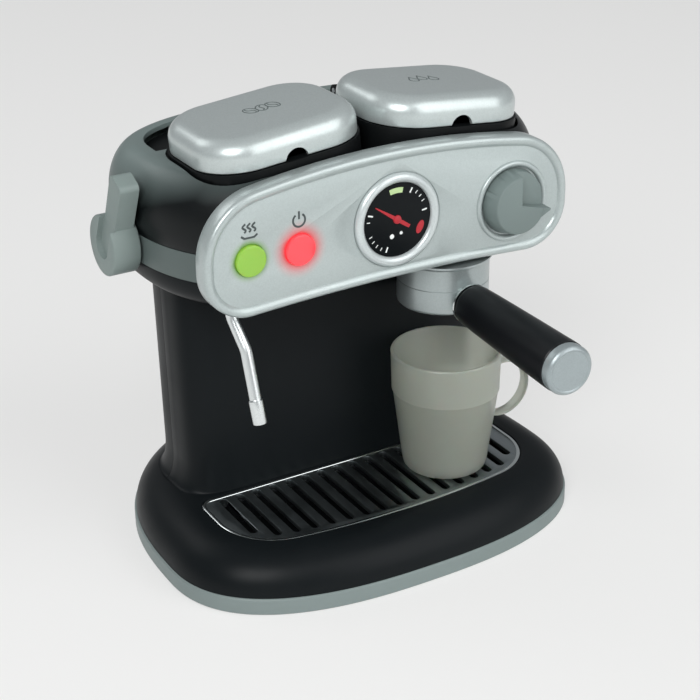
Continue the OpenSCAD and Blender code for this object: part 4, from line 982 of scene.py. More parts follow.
def make_head_shell():
    """Upper shell of the head: hollow, open over the deck, with a seat for the crank's hub."""
    shell = loft("head_top_shell", shell_rings(0, shell_start(), 30))
    inner = [level(head_oval(0.6 + WALL), BAND_TOP - 1)] + shell_rings(WALL, 0, 10)
    hub_seat = rod((-HEAD_W / 2 - 0.5, CRANK_Y, CRANK_Z), (-HEAD_W / 2 - 9, CRANK_Y, CRANK_Z),
                   CRANK_HUB_R + SLIP, 96)
    carve(shell, loft("hollow", inner), before_front(), *deck_opening(), hub_seat)
    soften(shell, 0.5, 3, 50)
    dress(shell, BLACK_ABS_PAINTED_SHEEN, "body", "head_shell")


def make_head_top():
    """Black deck plate and the two containers whose collars carry the lids."""
    deck = smooth_copy("head_deck", 0.3)
    carve(deck, loft("inside_shell", shell_rings(1.2, shell_start(), 30)), operation="INTERSECT")
    dress(tidy(deck), DEEP_BLACK_ABS, "body", "head_deck")
    for node_name in ("bean_box", "water_tank"):
        dress(smooth_copy(node_name, 0.6, 3), DEEP_BLACK_ABS, "body", node_name)


# ---- front panel and its controls ---------------------------------------------------------------

def face_on(piece, x, z, y=None):
    """Turns a piece made along Z to face the front, at a place on the panel."""
    return place(piece, at(x, PANEL_FACE if y is None else y, z, 90, "X"))


def make_front_panel():
    """Silver panel with a round bead along its edge, a raised ring round the knob and openings."""
    bead = [(0.0, HEAD_FRONT)]
    bead += moved(((0.0, 2.6), (0.25, 1.4), (0.9, 0.5), (1.8, 0.08), (2.5, 0.0), (3.3, 0.12), (4.1, 0.5),
                   (4.8, 1.1)), 0, PANEL_FRONT)
    bead += [(5.3, PANEL_FACE + 0.1), (5.7, PANEL_FACE + 0.16), (6.2, PANEL_FACE)]
    back = [(PANEL_SKIN, PANEL_FACE + PANEL_SKIN), (PANEL_SKIN, HEAD_FRONT)]
    panel = loft("front_panel_shell", [upright(panel_outline(inset), y) for inset, y in back + bead])
    lip = lathe("knob_lip", moved(((0, -0.4), (0, 0.2), (0.5, 0.9), (1.1, 1.35), (1.8, 1.55), (2.5, 1.4),
                                   (3.0, 0.9), (3.2, 0.3), (3.2, -0.4)), KNOB_SEAT), 144)
    carve(panel, face_on(lip, KNOB_X, KNOB_Z), operation="UNION")
    for x in (GREEN_X, RED_X):
        carve(panel, rod((x, PANEL_FRONT - 1, BUTTON_Z), (x, HEAD_FRONT, BUTTON_Z), BUTTON_R + SLIP, 72))
    carve(panel, rod((GAUGE_X, PANEL_FRONT - 1, GAUGE_Z), (GAUGE_X, HEAD_FRONT, GAUGE_Z), DIAL_R + 1, 96),
          rod((KNOB_X, PANEL_FRONT - 1, KNOB_Z), (KNOB_X, PANEL_FACE + 1, KNOB_Z), KNOB_SEAT, 96),
          rod((KNOB_X, PANEL_FRONT - 1, KNOB_Z), (KNOB_X, HEAD_FRONT, KNOB_Z), SPINDLE_HOLE_R, 48))
    groove = lathe("bezel_groove", moved(((-1, -0.7), (0.15, -0.7), (0.15, 1), (-1, 1)), BEZEL_R), 144)
    carve(panel, face_on(groove, GAUGE_X, GAUGE_Z))
    soften(panel, 0.3, 2, 50)
    dress(panel, PANEL_SILVER, "body", "front_panel")


def make_gauge():
    """Silver bezel with a round swell, and the black printed dial inside it."""
    profile = moved(((0, -0.5), (0, 0.7), (0.5, 1.5), (1.1, 2.0), (1.8, 2.3), (2.6, 2.4), (3.4, 2.2),
                     (4.0, 1.8), (4.5, 1.2)), DIAL_R)
    profile += moved(((-0.55, 0.5), (-0.5, 0.0), (-0.5, -0.5)), BEZEL_R)
    bezel = lathe("gauge_bezel_ring", profile, 144)
    dress(face_on(bezel, GAUGE_X, GAUGE_Z), BEZEL_SILVER, "body", "gauge_bezel")
    disc_r, disc_t = DIAL_R + 0.9, 6
    dial = lathe("gauge_dial_disc", [(0, -disc_t), (disc_r, -disc_t), (disc_r, 0), (0, 0)], 96)
    dress(face_on(dial, GAUGE_X, GAUGE_Z), DIAL_BLACK, "body", "gauge_dial")


def tick_tree():
    """Geometry nodes: flat ticks along an arc, pointing to its centre."""
    tree, given = begin_tree("dial_ticks", "Start", "Step", "Radius", "Length", "Width", "Thickness",
                             Count="Int")
    index = add(tree, "GeometryNodeInputIndex")
    along = add(tree, MATH, (index, given["Step"]), operation="MULTIPLY")
    angle = add(tree, MATH, (given["Start"], along), operation="ADD")
    way = [add(tree, MATH, (angle,), operation=ratio) for ratio in ("COSINE", "SINE")]
    x, y = [add(tree, MATH, (given["Radius"], share), operation="MULTIPLY") for share in way]
    spot = add(tree, "ShaderNodeCombineXYZ", (x, y))
    points = add(tree, "GeometryNodePoints", {"Count": given["Count"], "Position": spot})
    size = add(tree, "ShaderNodeCombineXYZ", [given[label] for label in ("Length", "Width", "Thickness")])
    tick = add(tree, "GeometryNodeMeshCube", {"Size": size})
    turn = add(tree, "ShaderNodeCombineXYZ", {"Z": angle})
    ticks = add(tree, "GeometryNodeInstanceOnPoints", {"Points": points, "Instance": tick, "Rotation": turn})
    return end_tree(tree, ticks, given["Material"])


INK = 0.16  # height of the printed marks, enough to show


def flat_mark(name, outline, thick=INK):
    """Raised mark of the given outline."""
    return loft(name, [level(outline, -0.05), level(outline, thick)])


def sector(inner, outer, start, stop, count=12):
    """Outline of a piece of a ring, angles in degrees."""
    return arc((0, 0), outer, start, stop, count) + arc((0, 0), inner, stop, start, count)


def make_dial_marks():
    """White ticks, a red zone, a green mark, two lamps and a red needle on the dial."""
    tree = tick_tree()
    long_tick = {"Radius": 16.2 * MM, "Length": 2.9 * MM, "Width": 0.75 * MM}
    short_tick = {"Radius": 16.8 * MM, "Length": 1.8 * MM, "Width": 0.4 * MM}
    whites = []
    for start, step, count, tick in ((203, 11, 4, short_tick), (248, 0, 1, long_tick), (163, 0, 1, long_tick),
                                     (175, 0, 1, short_tick), (60, 0, 1, long_tick), (48, -11, 3, short_tick),
                                     (8, 0, 1, long_tick)):
        whites.append(grow("tick_row", tree, Count=count, Start=math.radians(start), Step=math.radians(step),
                           Thickness=2 * INK * MM, Material=DIAL_WHITE, **tick))
    for x, y, r in ((-3.0, -8.6, 1.3), (2.4, -7.6, 0.9)):
        whites.append(place(lathe("lamp", [(0, 0), (r, 0), (r * 0.8, 0.25), (0, 0.4)], 24), at(x, y, 0)))
    white = join(*whites)
    white.name = "dial_white_marks"
    dress(face_on(tidy(white), GAUGE_X, GAUGE_Z), DIAL_WHITE, "body")
    blob = [(15.0 + 1.9 * math.cos(a), 3.6 * math.sin(a)) for a in turns(32)]
    needle = [(-8.5, -0.9), (0, -1.1), (15.2, -0.25), (15.2, 0.25), (0, 1.1), (-8.5, 0.9)]
    zone = join(place(flat_mark("dial_red_zone", blob), at(0, 0, 0, -26)),
                place(flat_mark("needle", needle, 0.5), at(0, 0, 0, 146)),
                lathe("needle_boss", [(0, 0), (2.3, 0), (2.1, 0.7), (1.4, 1.0), (0, 1.1)], 32))
    dress(face_on(tidy(zone), GAUGE_X, GAUGE_Z), DIAL_RED, "body")
    green = flat_mark("dial_green_mark", sector(14.0, 16.8, 78, 106))
    dress(face_on(tidy(green), GAUGE_X, GAUGE_Z), DIAL_GREEN, "body")


def make_button(name, x, material, body):
    """Push button: a crowned cap, a flange behind the panel and a stem."""
    front = -2.2
    rim = moved(((1.6, 3.9), (1.6, 2.7), (0, 2.7), (0, -1.3), (-0.3, -1.75), (-0.9, -1.95),
                 (-3, front + 0.1)), BUTTON_R)
    cap = lathe(name + "_cap", [(0, 3.9), *rim, (0, front)], 72)
    place(cap, at(x, PANEL_FACE, BUTTON_Z, -90, "X"))
    stem_x, stem_r = x + 6, 2.5
    stem = rod((stem_x, PANEL_FACE + 3.8, BUTTON_Z), (stem_x, HEAD_FRONT + 2, BUTTON_Z), stem_r, 32)
    dress(carve(cap, stem, operation="UNION"), material, body, name)
    tidy(cap)


def tube_mark(name, points, radius, closed=False):
    """Thin raised line of round section through flat points, for icons."""
    curve = bpy.data.curves.new(name, "CURVE")
    curve.dimensions = "3D"
    spline = curve.splines.new("POLY")
    spline.points.add(len(points) - 1)
    for point, spot in zip(spline.points, points):
        point.co = (spot[0] * MM, spot[1] * MM, 0, 1)
    spline.use_cyclic_u = closed
    curve.bevel_depth = radius * MM
    curve.bevel_resolution = 2
    curve.use_fill_caps = True
    source = bpy.data.objects.new(name, curve)
    bpy.context.collection.objects.link(source)
    mesh = bpy.data.meshes.new_from_object(source.evaluated_get(bpy.context.evaluated_depsgraph_get()))
    bpy.data.objects.remove(source)
    piece = bpy.data.objects.new(name, mesh)
    bpy.context.collection.objects.link(piece)
    return place(piece, Matrix.Diagonal((1, 1, 0.5, 1)))


def make_panel_icons():
    """Generic marks over the buttons: a rising wave of steam and an on-off sign."""
    line = 0.55
    waves = [tube_mark("wave", [(x + 0.9 * math.sin(k * 0.9), 0.55 * k - 1) for k in range(9)], line)
             for x in (-2.6, 0, 2.6)]
    dish = tube_mark("dish", [(-4.4, -2.6), (-2.6, -3.9), (2.6, -3.9), (4.4, -2.6)], line)
    steam = join(*waves, dish)
    steam.name = "steam_mark"
    dress(face_on(tidy(steam), GREEN_X, BUTTON_Z + 15.5), ICON_GREY, "body")
    power = join(tube_mark("power_mark", arc((0, 0), 3.3, 125, 415, 30), line),
                 tube_mark("bar", [(0, 0.6), (0, 4.6)], line))
    dress(face_on(tidy(power), RED_X, BUTTON_Z + 15), ICON_GREY, "body")


def make_knob():
    """Tapered knob with a quarter of its face cut back and a pointer at the side."""
    depth = PANEL_FACE + 0.7 - KNOB_FRONT
    rim = moved(((0.15, -0.8), (-0.2, -0.3), (-0.8, 0)), KNOB_FACE_R, depth)
    knob = lathe("knob_body", [(0, 0), (KNOB_R, 0), *rim, (0, depth)], 144)
    place(knob, at(KNOB_X, PANEL_FACE + 0.7, KNOB_Z, 90, "X"))
    cos_from = math.cos(math.radians(KNOB_NOTCH_FROM))
    sin_from = math.sin(math.radians(KNOB_NOTCH_FROM))

    def turned(x, z):
        """Place in X and Z of a point given along and across the pointer."""
        return KNOB_X + x * cos_from - z * sin_from, KNOB_Z + x * sin_from + z * cos_from

    root = KNOB_TIP - KNOB_TIP_W
    tip = [turned(x, z) for x, z in ((root, -KNOB_TIP_W), (KNOB_TIP, -1), (KNOB_TIP, 0.2), (root, 0.2))]
    pointer = loft("pointer", [upright(tip, y) for y in (KNOB_FRONT + 1, PANEL_FACE - SLIP)])
    carve(knob, pointer, operation="UNION")
    wide = 2 * KNOB_R
    off_x, off_z = 0.05, 0.03  # keep the cutter's walls clear of the knob's own points
    notch = [turned(off_x, off_z), turned(wide, off_z), (KNOB_X + wide, KNOB_Z + wide),
             (KNOB_X + off_x, KNOB_Z + wide)]
    carve(knob, loft("notch", [upright(notch, y) for y in (KNOB_FRONT - 1, KNOB_FRONT + KNOB_NOTCH)]))
    soften(knob, 0.5, 3, 30)
    dress(knob, KNOB_GREY_ABS, "knob", "knob")


# ---- lids ---------------------------------------------------------------------------------------

def lid_rings(grow_in, top, foot):
    """Rings of a lid: upright sides, a wide round shoulder and a flat top."""
    round_r = LID_ROUND - grow_in

    def outline(inset):
        """Outline of the lid, smaller all round by the inset."""
        return rounded_rect(LID_W - 2 * inset, LID_D - 2 * inset, LID_CORNER - inset)

    rings = [level(outline(grow_in), foot)]
    if not grow_in:
        rings = [level(outline(0.7), foot), level(outline(0.15), foot + 0.3), level(outline(0), foot + 0.9)]
    rings += [level(outline(grow_in + round_r * (1 - math.cos(q))), top - round_r * (1 - math.sin(q)))
              for q in quarter(14)]
    return rings


def lid_mark(side):
    """Generic relief on a lid: three beans on the left one, three drops on the right one."""
    line = 0.5
    if side < 0:
        hull = [(4.2 * math.cos(a), 6 * math.sin(a)) for a in turns(28)]
        wave = [(1.1 * math.sin(k * math.pi / 4), 1.25 * k - 5) for k in range(9)]
        beans = []
        for x, turn in ((-8.6, 30), (0, -12), (8.6, 24)):
            bean = join(tube_mark("bean", hull, line, True), tube_mark("crease", wave, line))
            beans.append(place(bean, at(x, 0, 0, turn)))
        return join(*beans)
    drop = arc((0, -2), 3.6, 150, 390, 28) + [(2.1, 1.6), (0.8, 4.0), (0, 6.2), (-0.8, 4.0), (-2.1, 1.6)]
    spots = ((-8.4, -1), (0, 1.5), (8.4, -1))
    return join(*[place(tube_mark("drop", drop, line, True), at(x, y, 0)) for x, y in spots])


def make_lid(side, name):
    """Silver lid: hollow, with a finger notch in front and two ears on its hinge pin behind."""
    lid = loft(name + "_cover", lid_rings(0, LID_H, 0))
    carve(lid, loft("hollow", lid_rings(LID_WALL, LID_H - LID_WALL, -1)))
    ear_x, half_ear, ear_r, notch_r = 22, 5, 3.2, 6.4
    for x in (-ear_x, ear_x):
        left, right = x - half_ear, x + half_ear
        ear = block((left, LID_D / 2 - LID_WALL, 0), (right, LID_PIN_Y, LID_PIN_Z + ear_r))
        barrel = rod((left, LID_PIN_Y, LID_PIN_Z), (right, LID_PIN_Y, LID_PIN_Z), ear_r, 48)
        carve(lid, ear, barrel, operation="UNION")
    carve(lid, rod((-40, LID_PIN_Y, LID_PIN_Z), (40, LID_PIN_Y, LID_PIN_Z), LID_BORE_R, 32),
          rod((0, -LID_D / 2 - 4, -1), (0, -LID_D / 2 + 4, -1), notch_r, 64))
    soften(lid, 0.4, 2, 50)
    place(lid, lid_place(side))
    dress(lid, LID_SILVER, name, name)
    mark = lid_mark(side)
    mark.name = name + "_mark"
    place(tidy(mark), lid_place(side) @ at(-2 * side, 2, LID_H) @ Matrix.Scale(0.72, 4))
    dress(mark, MARK_GREY, name)


# ---- brewing head and handle --------------------------------------------------------------------

def hand_place():
    """Placement of the brewing handle's axis."""
    return at(BREW_X, BREW_Y, 0, HANDLE_TURN)


def make_brew_head():
    """Silver brewing head: a small flange at the top, and a plug and a nozzle down in the bowl."""
    low = BOWL_TOP + 0.1
    neck_r = 11.8
    profile = [(0, low + 1)] + moved(((-1.9, 1), (-1.6, 0), (-0.2, 0), (0, 0.2)), BREW_R, low)
    profile += moved(((0, -2.6), (0.2, -2.0), (0.7, -1.5), (1.3, -1.3), (1.5, -1.0), (1.5, 0)),
                     BREW_R, UNDER_Z)
    profile += [(neck_r, UNDER_Z), (neck_r, UNDER_Z + WALL), (0, UNDER_Z + WALL)]
    head = lathe("brew_head_cover", profile, 144)
    place(head, at(BREW_X, BREW_Y, 0))
    for depth, radius, count in ((5, BREW_R - 4.6, 96), (6, 4.4, 40)):
        plug = rod((BREW_X, BREW_Y, BOWL_TOP - depth), (BREW_X, BREW_Y, low + 2), radius, count)
        carve(head, plug, operation="UNION")
    dress(tidy(head), BREW_SILVER, "body", "brew_head")


def make_handle():
    """Silver bowl, plated collar, black tapered grip and silver end cap."""
    cavity = BREW_R - 4.2
    drain_r = 2
    profile = [(drain_r, BOWL_Z)] + moved(((-2.0, 0), (-0.9, 0.3), (-0.25, 1.0), (0, 2.0)), BREW_R, BOWL_Z)
    profile += [(BREW_R, BOWL_TOP - 0.2), (BREW_R - 0.2, BOWL_TOP), (cavity, BOWL_TOP), (cavity, BOWL_Z + 2),
                (drain_r, BOWL_Z + 2)]
    bowl = lathe("bowl_cup", profile, 144)
    place(bowl, hand_place())
    dress(bowl, BREW_SILVER, "brew_handle", "bowl")
    spout = lathe("spout_nozzle", moved(((1.8, -5), (5.4, -5), (6, -4.4), (6, 0), (1.8, 0)), 0, BOWL_Z), 48)
    dress(place(spout, hand_place()), DEEP_BLACK_ABS, "brew_handle", "bowl_spout")
    along = hand_place() @ at(0, 0, HANDLE_Z, 90, "X")
    collar_start = BREW_R - 0.6
    profile = moved(((0, 0), (7.6, 0), (8.4, 0.5)), 0, collar_start)
    profile += moved(((9.6, -2.6), (10.6, -1.6), (10.9, -0.9), (10.6, -0.1), (9.4, 0), (0, 0)), 0, GRIP_START)
    collar = lathe("handle_root_ring", profile, 72)
    dress(place(collar, along), BRIGHT_PLATE, "brew_handle", "handle_collar")
    stop = GRIP_START + GRIP_L
    profile = moved(((0, 0), (8.4, 0), (9.9, 0.5), (10.8, 1.6), (11.2, 3.4), (11.6, 14), (12.6, 52)),
                    0, GRIP_START)
    profile += moved(((0, -4), (0, -0.6), (-0.5, 0)), GRIP_R, stop) + [(0, stop)]
    grip = lathe("handle_grip_body", profile, 96)
    dress(place(grip, along), GRIP_BLACK, "brew_handle", "handle_grip")
    cap_r = GRIP_R - 0.3
    profile = [(0, stop)] + moved(((-0.5, 0), (0, 0.4)), cap_r, stop)
    profile += moved(((0, -1.9), (-0.3, -1.2), (-1.3, -0.2), (-1.8, 0), (-2.3, -0.1), (-2.7, -0.4)),
                     cap_r, stop + CAP_L)
    cap = lathe("handle_end_cap", profile + [(0, stop + CAP_L - 0.3)], 96)
    dress(place(cap, along), CAP_SILVER, "brew_handle", "handle_cap")


# ---- steam pipe ---------------------------------------------------------------------------------

def smooth_path(corners, radius, steps=10):
    """Points along straight runs whose corners are rounded off."""
    path = [Vector(corners[0])]
    for before, corner, after in zip(corners, corners[1:], corners[2:]):
        corner = Vector(corner)
        way_in = (Vector(before) - corner).normalized()
        way_out = (Vector(after) - corner).normalized()
        reach = radius * math.tan((math.pi - way_in.angle(way_out)) / 2)
        reach = min(reach, (Vector(before) - corner).length * 0.48, (Vector(after) - corner).length * 0.48)
        for i in range(steps + 1):
            t = i / steps
            path.append(corner + (1 - t) ** 2 * reach * way_in + t * t * reach * way_out)
    path.append(Vector(corners[-1]))
    return path


def sweep(name, path, radii, count=40):
    """Round tube along a path, with the radius at each of its points."""
    rings = []
    side = Vector((1, 0, 0))
    for i, point in enumerate(path):
        along = (path[min(i + 1, len(path) - 1)] - path[max(i - 1, 0)]).normalized()
        up = along.cross(side).normalized()
        side = up.cross(along).normalized()
        rings.append([tuple(point + radii[i] * (side * math.cos(a) + up * math.sin(a)))
                      for a in turns(count)])
    return loft(name, rings)


def make_steam_pipe():
    """Plated pipe with two bends, a collar inside the head and a thicker tip."""
    path = smooth_path(PIPE, PIPE_BEND_R)
    pipe = sweep("steam_pipe_tube", path, [PIPE_R] * len(path))
    top_x, top_y, _ = PIPE[0]
    collar_z = UNDER_Z + WALL + 0.3
    collar = rod((top_x, top_y, collar_z), (top_x, top_y, collar_z + 2), PIPE_COLLAR_R)
    dress(join(pipe, collar), PIPE_PLATE, "steam_pipe", "steam_pipe")
    end = Vector(PIPE[-1])
    along = (end - Vector(PIPE[-2])).normalized()
    stations = [(2 - TIP_L, PIPE_R + 0.1), (2.2 - TIP_L, TIP_R - 0.4), (2.8 - TIP_L, TIP_R),
                (1.5, TIP_R), (1.9, TIP_R - 0.2), (2.0, TIP_R - 0.5), (2.0, 1.2), (-2.0, 1.0)]
    tip = sweep("steam_pipe_tip", [end + along * s for s, _ in stations], [r for _, r in stations])
    dress(tidy(tip), PIPE_PLATE, "steam_pipe", "pipe_tip")


# ---- crank --------------------------------------------------------------------------------------

def make_crank():
    """Grey crank: a flat hub with a shallow step towards the arm, and a straight arm with soft edges."""
    depth = CRANK_BASE_X - CRANK_FACE - 0.8
    profile = [(0, 0)] + moved(((-0.6, 0), (0, 0.8), (0, depth), (-0.3, depth + 0.5),
                                (-0.8, depth + 0.8)), CRANK_HUB_R)
    hub = lathe("crank_hub", profile + [(0, depth + 0.8)], 96)
    arm_high = depth - CRANK_STEP
    half = CRANK_ARM_W / 2
    slim = CRANK_ROOT_W / 2
    round_r = 3
    outline = [(0, -slim), (CRANK_ARM - round_r - 4, -half)]
    outline += arc((CRANK_ARM - round_r, round_r - half), round_r, -90, 0, 8)
    outline += arc((CRANK_ARM - round_r, half - round_r), round_r, 0, 90, 8)
    outline += [(CRANK_ARM - round_r - 4, half), (0, slim)]
    arm = loft("arm", [level(outline, CRANK_ARM_IN), level(outline, arm_high)])
    lean = Matrix.Rotation(math.radians(-CRANK_LEAN), 4, "Z")
    carve(hub, place(arm, lean), operation="UNION")
    step_half = slim + CRANK_STEP_SIDE
    step = arc((0, 0), slim + 2 * CRANK_STEP_SIDE, 90, 270, 24)
    step += [(CRANK_HUB_R + 4, -step_half), (CRANK_HUB_R + 4, step_half)]
    carve(hub, place(loft("step", [level(step, arm_high), level(step, depth + 4)]), lean))
    soften(hub, 0.8, 4, 40)
    place(hub, at(CRANK_BASE_X, CRANK_Y, CRANK_Z, -90, "Y"))
    hub.name = "crank_handle"
    dress(hub, CRANK_GREY_ABS, "crank", "crank")


# ---- cup ----------------------------------------------------------------------------------------

def cup_wall(height):
    """Outer radius of the cup at a height below its step."""
    return CUP_FOOT_R + (CUP_R - 1.2 - CUP_FOOT_R) * min(height / CUP_STEP, 1)


def make_cup():
    """Frosted cup: a tapered wall with a step under its rim, a foot ring and a round loop."""
    wall = 2.0
    waist = cup_wall(CUP_STEP)
    profile = [(0, 0.6)] + moved(((-4, 0.6), (-3.4, 0.0), (-1.6, 0.0), (-0.8, 0.5)), CUP_FOOT_R)
    profile += [(cup_wall(1.5) - 0.3, 1.5), (cup_wall(4), 4.0), (waist, CUP_STEP),
                (waist + 0.6, CUP_STEP + 0.8)]
    profile += moved(((-0.15, -2.0), (0, -0.9), (-0.4, -0.2), (-1.0, 0), (-1.6, -0.2), (-1.9, -0.8)),
                     CUP_R, CUP_H)
    profile += [(waist - wall + 0.5, CUP_STEP + 0.8), (waist - wall, CUP_STEP), (cup_wall(6) - wall, 7),
                (cup_wall(3) - wall - 1.4, 4.2), (cup_wall(2) - wall - 3.4, 3.0), (0, 3.0)]
    cup = lathe("cup_shell", profile, 128)
    middle = Vector((CUP_R + CUP_LOOP_OUT, 0, CUP_LOOP_Z))
    half_t = CUP_LOOP_T / 2
    rings = []
    for x, z in arc((0, 0), 1, -128, 128, 40):
        out = Vector((x, 0, z))
        spot = middle + out * (CUP_LOOP_R - half_t)
        rings.append([tuple(spot + out * half_t * math.cos(a) + Vector((0, CUP_LOOP_W / 2 * math.sin(a), 0)))
                      for a in turns(24)])
    handle = loft("cup_loop", rings)
    inside = lathe("inside", [(0, -1), (cup_wall(0) - 0.8, -1), (waist - 0.8, CUP_STEP), (CUP_R - 1.0, CUP_H),
                              (0, CUP_H)], 128)
    carve(handle, inside)
    carve(cup, handle, operation="UNION")
    place(tidy(cup), at(CUP_X, CUP_Y, CUP_Z))
    dress(cup, CUP_FROST, "cup", "cup")


# ---- screws -------------------------------------------------------------------------------------

def screw_tree():
    """Geometry nodes: cross head screws on the points of the mesh."""
    tree, given = begin_tree("cross_screws", "Head Radius", "Head Height", "Shank Radius", "Shank Length",
                             "Tilt", Geometry="Geometry")

    def shift(shape, z):
        """A shape moved up by z."""
        spot = add(tree, "ShaderNodeCombineXYZ", {"Z": z})
        return add(tree, "GeometryNodeTransform", {"Geometry": shape, "Translation": spot})

    head = add(tree, "GeometryNodeMeshCylinder", {"Vertices": 32, "Radius": given["Head Radius"],
                                                  "Depth": given["Head Height"]})
    head = shift(head, add(tree, MATH, (given["Head Height"], 2.0), operation="DIVIDE"))
    cross = add(tree, "GeometryNodeMeshBoolean", {"Mesh 1": head}, operation="DIFFERENCE")
    long = add(tree, MATH, (given["Head Radius"], 1.2), operation="MULTIPLY")
    slim = add(tree, MATH, (given["Head Radius"], 0.26), operation="MULTIPLY")
    for wide, deep in ((long, slim), (slim, long)):
        size = add(tree, "ShaderNodeCombineXYZ", (wide, deep, given["Head Height"]))
        bar = add(tree, "GeometryNodeMeshCube", {"Size": size})
        tree.links.new(bar.outputs[0], cross.inputs["Mesh 2"])
    shank = add(tree, "GeometryNodeMeshCylinder", {"Vertices": 24, "Radius": given["Shank Radius"],
                                                   "Depth": given["Shank Length"]})
    half = add(tree, MATH, (given["Shank Length"], 2.0), operation="DIVIDE")
    sunk = add(tree, MATH, (given["Head Height"], 0.8), operation="MULTIPLY")
    shank = shift(shank, add(tree, MATH, (half, sunk), operation="ADD"))
    both = add(tree, "GeometryNodeJoinGeometry")
    for solid in (cross, shank):
        tree.links.new(solid.outputs[0], both.inputs[0])
    points = add(tree, "GeometryNodeMeshToPoints", {"Mesh": given["Geometry"]})
    turn = add(tree, "ShaderNodeCombineXYZ", {"X": given["Tilt"]})
    screws = add(tree, "GeometryNodeInstanceOnPoints", {"Points": points, "Instance": both, "Rotation": turn})
    return end_tree(tree, screws, given["Material"])


def node_spots(node_name):
    """Low and high corner of each separate solid of a CAD node, in millimetres, in a fixed order."""
    work = bmesh.new()
    work.from_mesh(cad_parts[node_name].data)
    bmesh.ops.remove_doubles(work, verts=work.verts, dist=1e-6)
    left = set(work.verts)
    spots = []
    while left:
        group = set()
        stack = [left.pop()]
        while stack:
            vert = stack.pop()
            group.add(vert)
            near = [e.other_vert(vert) for e in vert.link_edges]
            fresh = [v for v in near if v in left]
            left.difference_update(fresh)
            stack += fresh
        low = Vector(min(v.co[i] for v in group) for i in range(3)) / MM
        high = Vector(max(v.co[i] for v in group) for i in range(3)) / MM
        spots.append((low, high))
    work.free()
    return sorted(spots, key=lambda corners: [round(c, 3) for c in corners[0]])


def make_screws():
    """Steel screws, their heads where the CAD screws have theirs."""
    tree = screw_tree()
    for node_name, tilt, length, head in (("base_screws", 0, 13.8, 1.0), ("door_screw", 0, 7.6, 1.0),
                                          ("back_screws", 90, 18, 1.0), ("panel_screws", 90, 6, 1.6)):
        points = []
        for low, high in node_spots(node_name):
            mid = (low + high) / 2
            points.append((mid.x, high.y, mid.z) if tilt else (mid.x, mid.y, low.z))
        values = {"Head Radius": 3 * MM, "Head Height": head * MM, "Shank Radius": 1.3 * MM,
                  "Shank Length": length * MM, "Tilt": math.radians(tilt)}
        piece = grow(node_name + "_set", tree, points, Material=STEEL, **values)
        dress(tidy(piece), STEEL, "body", node_name)


# ---- pieces whose CAD shape is right ------------------------------------------------------------

KEPT = {
    DEEP_BLACK_ABS: ("battery_box", "front_frame", "knob_spindle", "pipe_socket"),
    RING_GREY_ABS: ("battery_door",),
    CELL_WRAP: ("battery_cells",),
    SPEAKER_PAPER: ("speaker",),
    BOARD_GREEN: ("button_board",),
    HOSE_VINYL: ("water_hose",),
    ACETAL: ("water_valve", "crank_bushing", "click_wheel", "click_leaf"),
    STEEL: ("lid_pin_left", "lid_pin_right", "crank_shaft"),
}


def finish_kept_nodes():
    """Gives the CAD nodes that are shown their materials."""
    for material, node_names in KEPT.items():
        for node_name in node_names:
            for material_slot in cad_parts[node_name].material_slots:
                material_slot.material = material


# ---- stage --------------------------------------------------------------------------------------

# each soft lamp's name, place, width and height in metres, and its power in watts
LAMPS = (
    ("key", (-1.25, -1.3, 1.5), 1.0, 1.0, 32),
    ("right", (0.95, -1.5, 1.65), 1.9, 1.3, 18),
    ("front", (1.1, -2.1, 0.75), 1.8, 1.0, 12),
    ("back", (-0.9, 1.4, 1.5), 1.2, 0.8, 6),
)
FLOOR_COLOUR = "#F2F2F1"
FLOOR_EVEN = 0.55  # share of the floor that shows its colour without shade


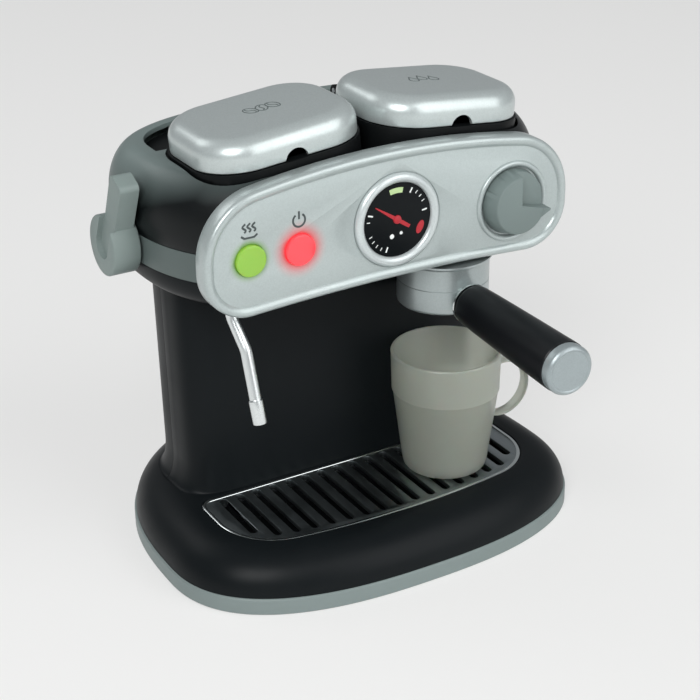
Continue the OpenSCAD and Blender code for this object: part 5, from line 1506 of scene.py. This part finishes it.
def make_stage():
    """Pale floor that keeps the shadow, a plain pale room and the soft lamps."""
    far = 4000
    corners = [(-far, -far, 0), (far, -far, 0), (far, far, 0), (-far, far, 0)]
    floor = piece_from("floor", corners, [(0, 1, 2, 3)])
    paint, tree, shader, _ = shade("pale_floor", FLOOR_COLOUR, 0.6)
    ray = add(tree, "ShaderNodeLightPath").outputs
    mirrored = add(tree, MATH, (ray["Is Glossy Ray"], ray["Is Transmission Ray"]), operation="MAXIMUM")
    seen = add(tree, MATH, (ray["Is Camera Ray"], mirrored), operation="MAXIMUM")
    share = add(tree, MATH, (seen, FLOOR_EVEN), operation="MULTIPLY")
    even = add(tree, "ShaderNodeEmission", {"Color": rgb(FLOOR_COLOUR), "Strength": 1.0})
    mix = add(tree, "ShaderNodeMixShader", (share, shader, even))
    tree.links.new(mix.outputs[0], tree.nodes["Material Output"].inputs["Surface"])
    floor.data.materials.append(paint)
    world = bpy.data.worlds.new("pale_room")
    world.use_nodes = True
    bpy.context.scene.world = world
    sky = world.node_tree.nodes["Background"]
    sky.inputs["Color"].default_value = (0.88, 0.9, 0.93, 1)
    sky.inputs["Strength"].default_value = 0.3
    for name, spot, wide, high, power in LAMPS:
        lamp = bpy.data.lights.new(name, "AREA")
        lamp.shape = "RECTANGLE"
        lamp.size = wide
        lamp.size_y = high
        lamp.energy = power
        holder = bpy.data.objects.new(name, lamp)
        bpy.context.collection.objects.link(holder)
        holder.location = spot
        holder.rotation_mode = "QUATERNION"
        holder.rotation_quaternion = (Vector((0, 0, 0.12)) - Vector(spot)).to_track_quat("-Z", "Y")


def make_camera():
    """Camera at the front left, looking down at the toy."""
    stand = Vector((-0.4110, -0.7176, 0.4883))
    target = Vector((-0.0079, -0.0043, 0.1163))
    roll = -1.0
    camera = bpy.data.cameras.new("camera")
    camera.lens = 86
    camera.sensor_width = 36
    camera.shift_x = 0.03
    camera.shift_y = -0.045
    holder = bpy.data.objects.new("camera", camera)
    bpy.context.collection.objects.link(holder)
    look = (target - stand).to_track_quat("-Z", "Y").to_matrix().to_4x4()
    holder.matrix_world = Matrix.Translation(stand) @ look @ Matrix.Rotation(math.radians(roll), 4, "Z")
    bpy.context.scene.camera = holder
    bpy.context.scene.view_settings.view_transform = "Standard"


make_stage()
make_camera()
make_base_ring()
make_base_skirt()
make_drip_tray()
make_drip_grille()
make_column()
make_head_lower()
make_head_band()
make_head_shell()
make_head_top()
make_front_panel()
make_gauge()
make_dial_marks()
make_button("button_green", GREEN_X, GREEN_CAP, "button_green")
make_button("button_red", RED_X, RED_CAP, "button_red")
make_panel_icons()
make_knob()
make_lid(-1, "lid_left")
make_lid(1, "lid_right")
make_brew_head()
make_handle()
make_steam_pipe()
make_crank()
make_cup()
make_screws()
finish_kept_nodes()
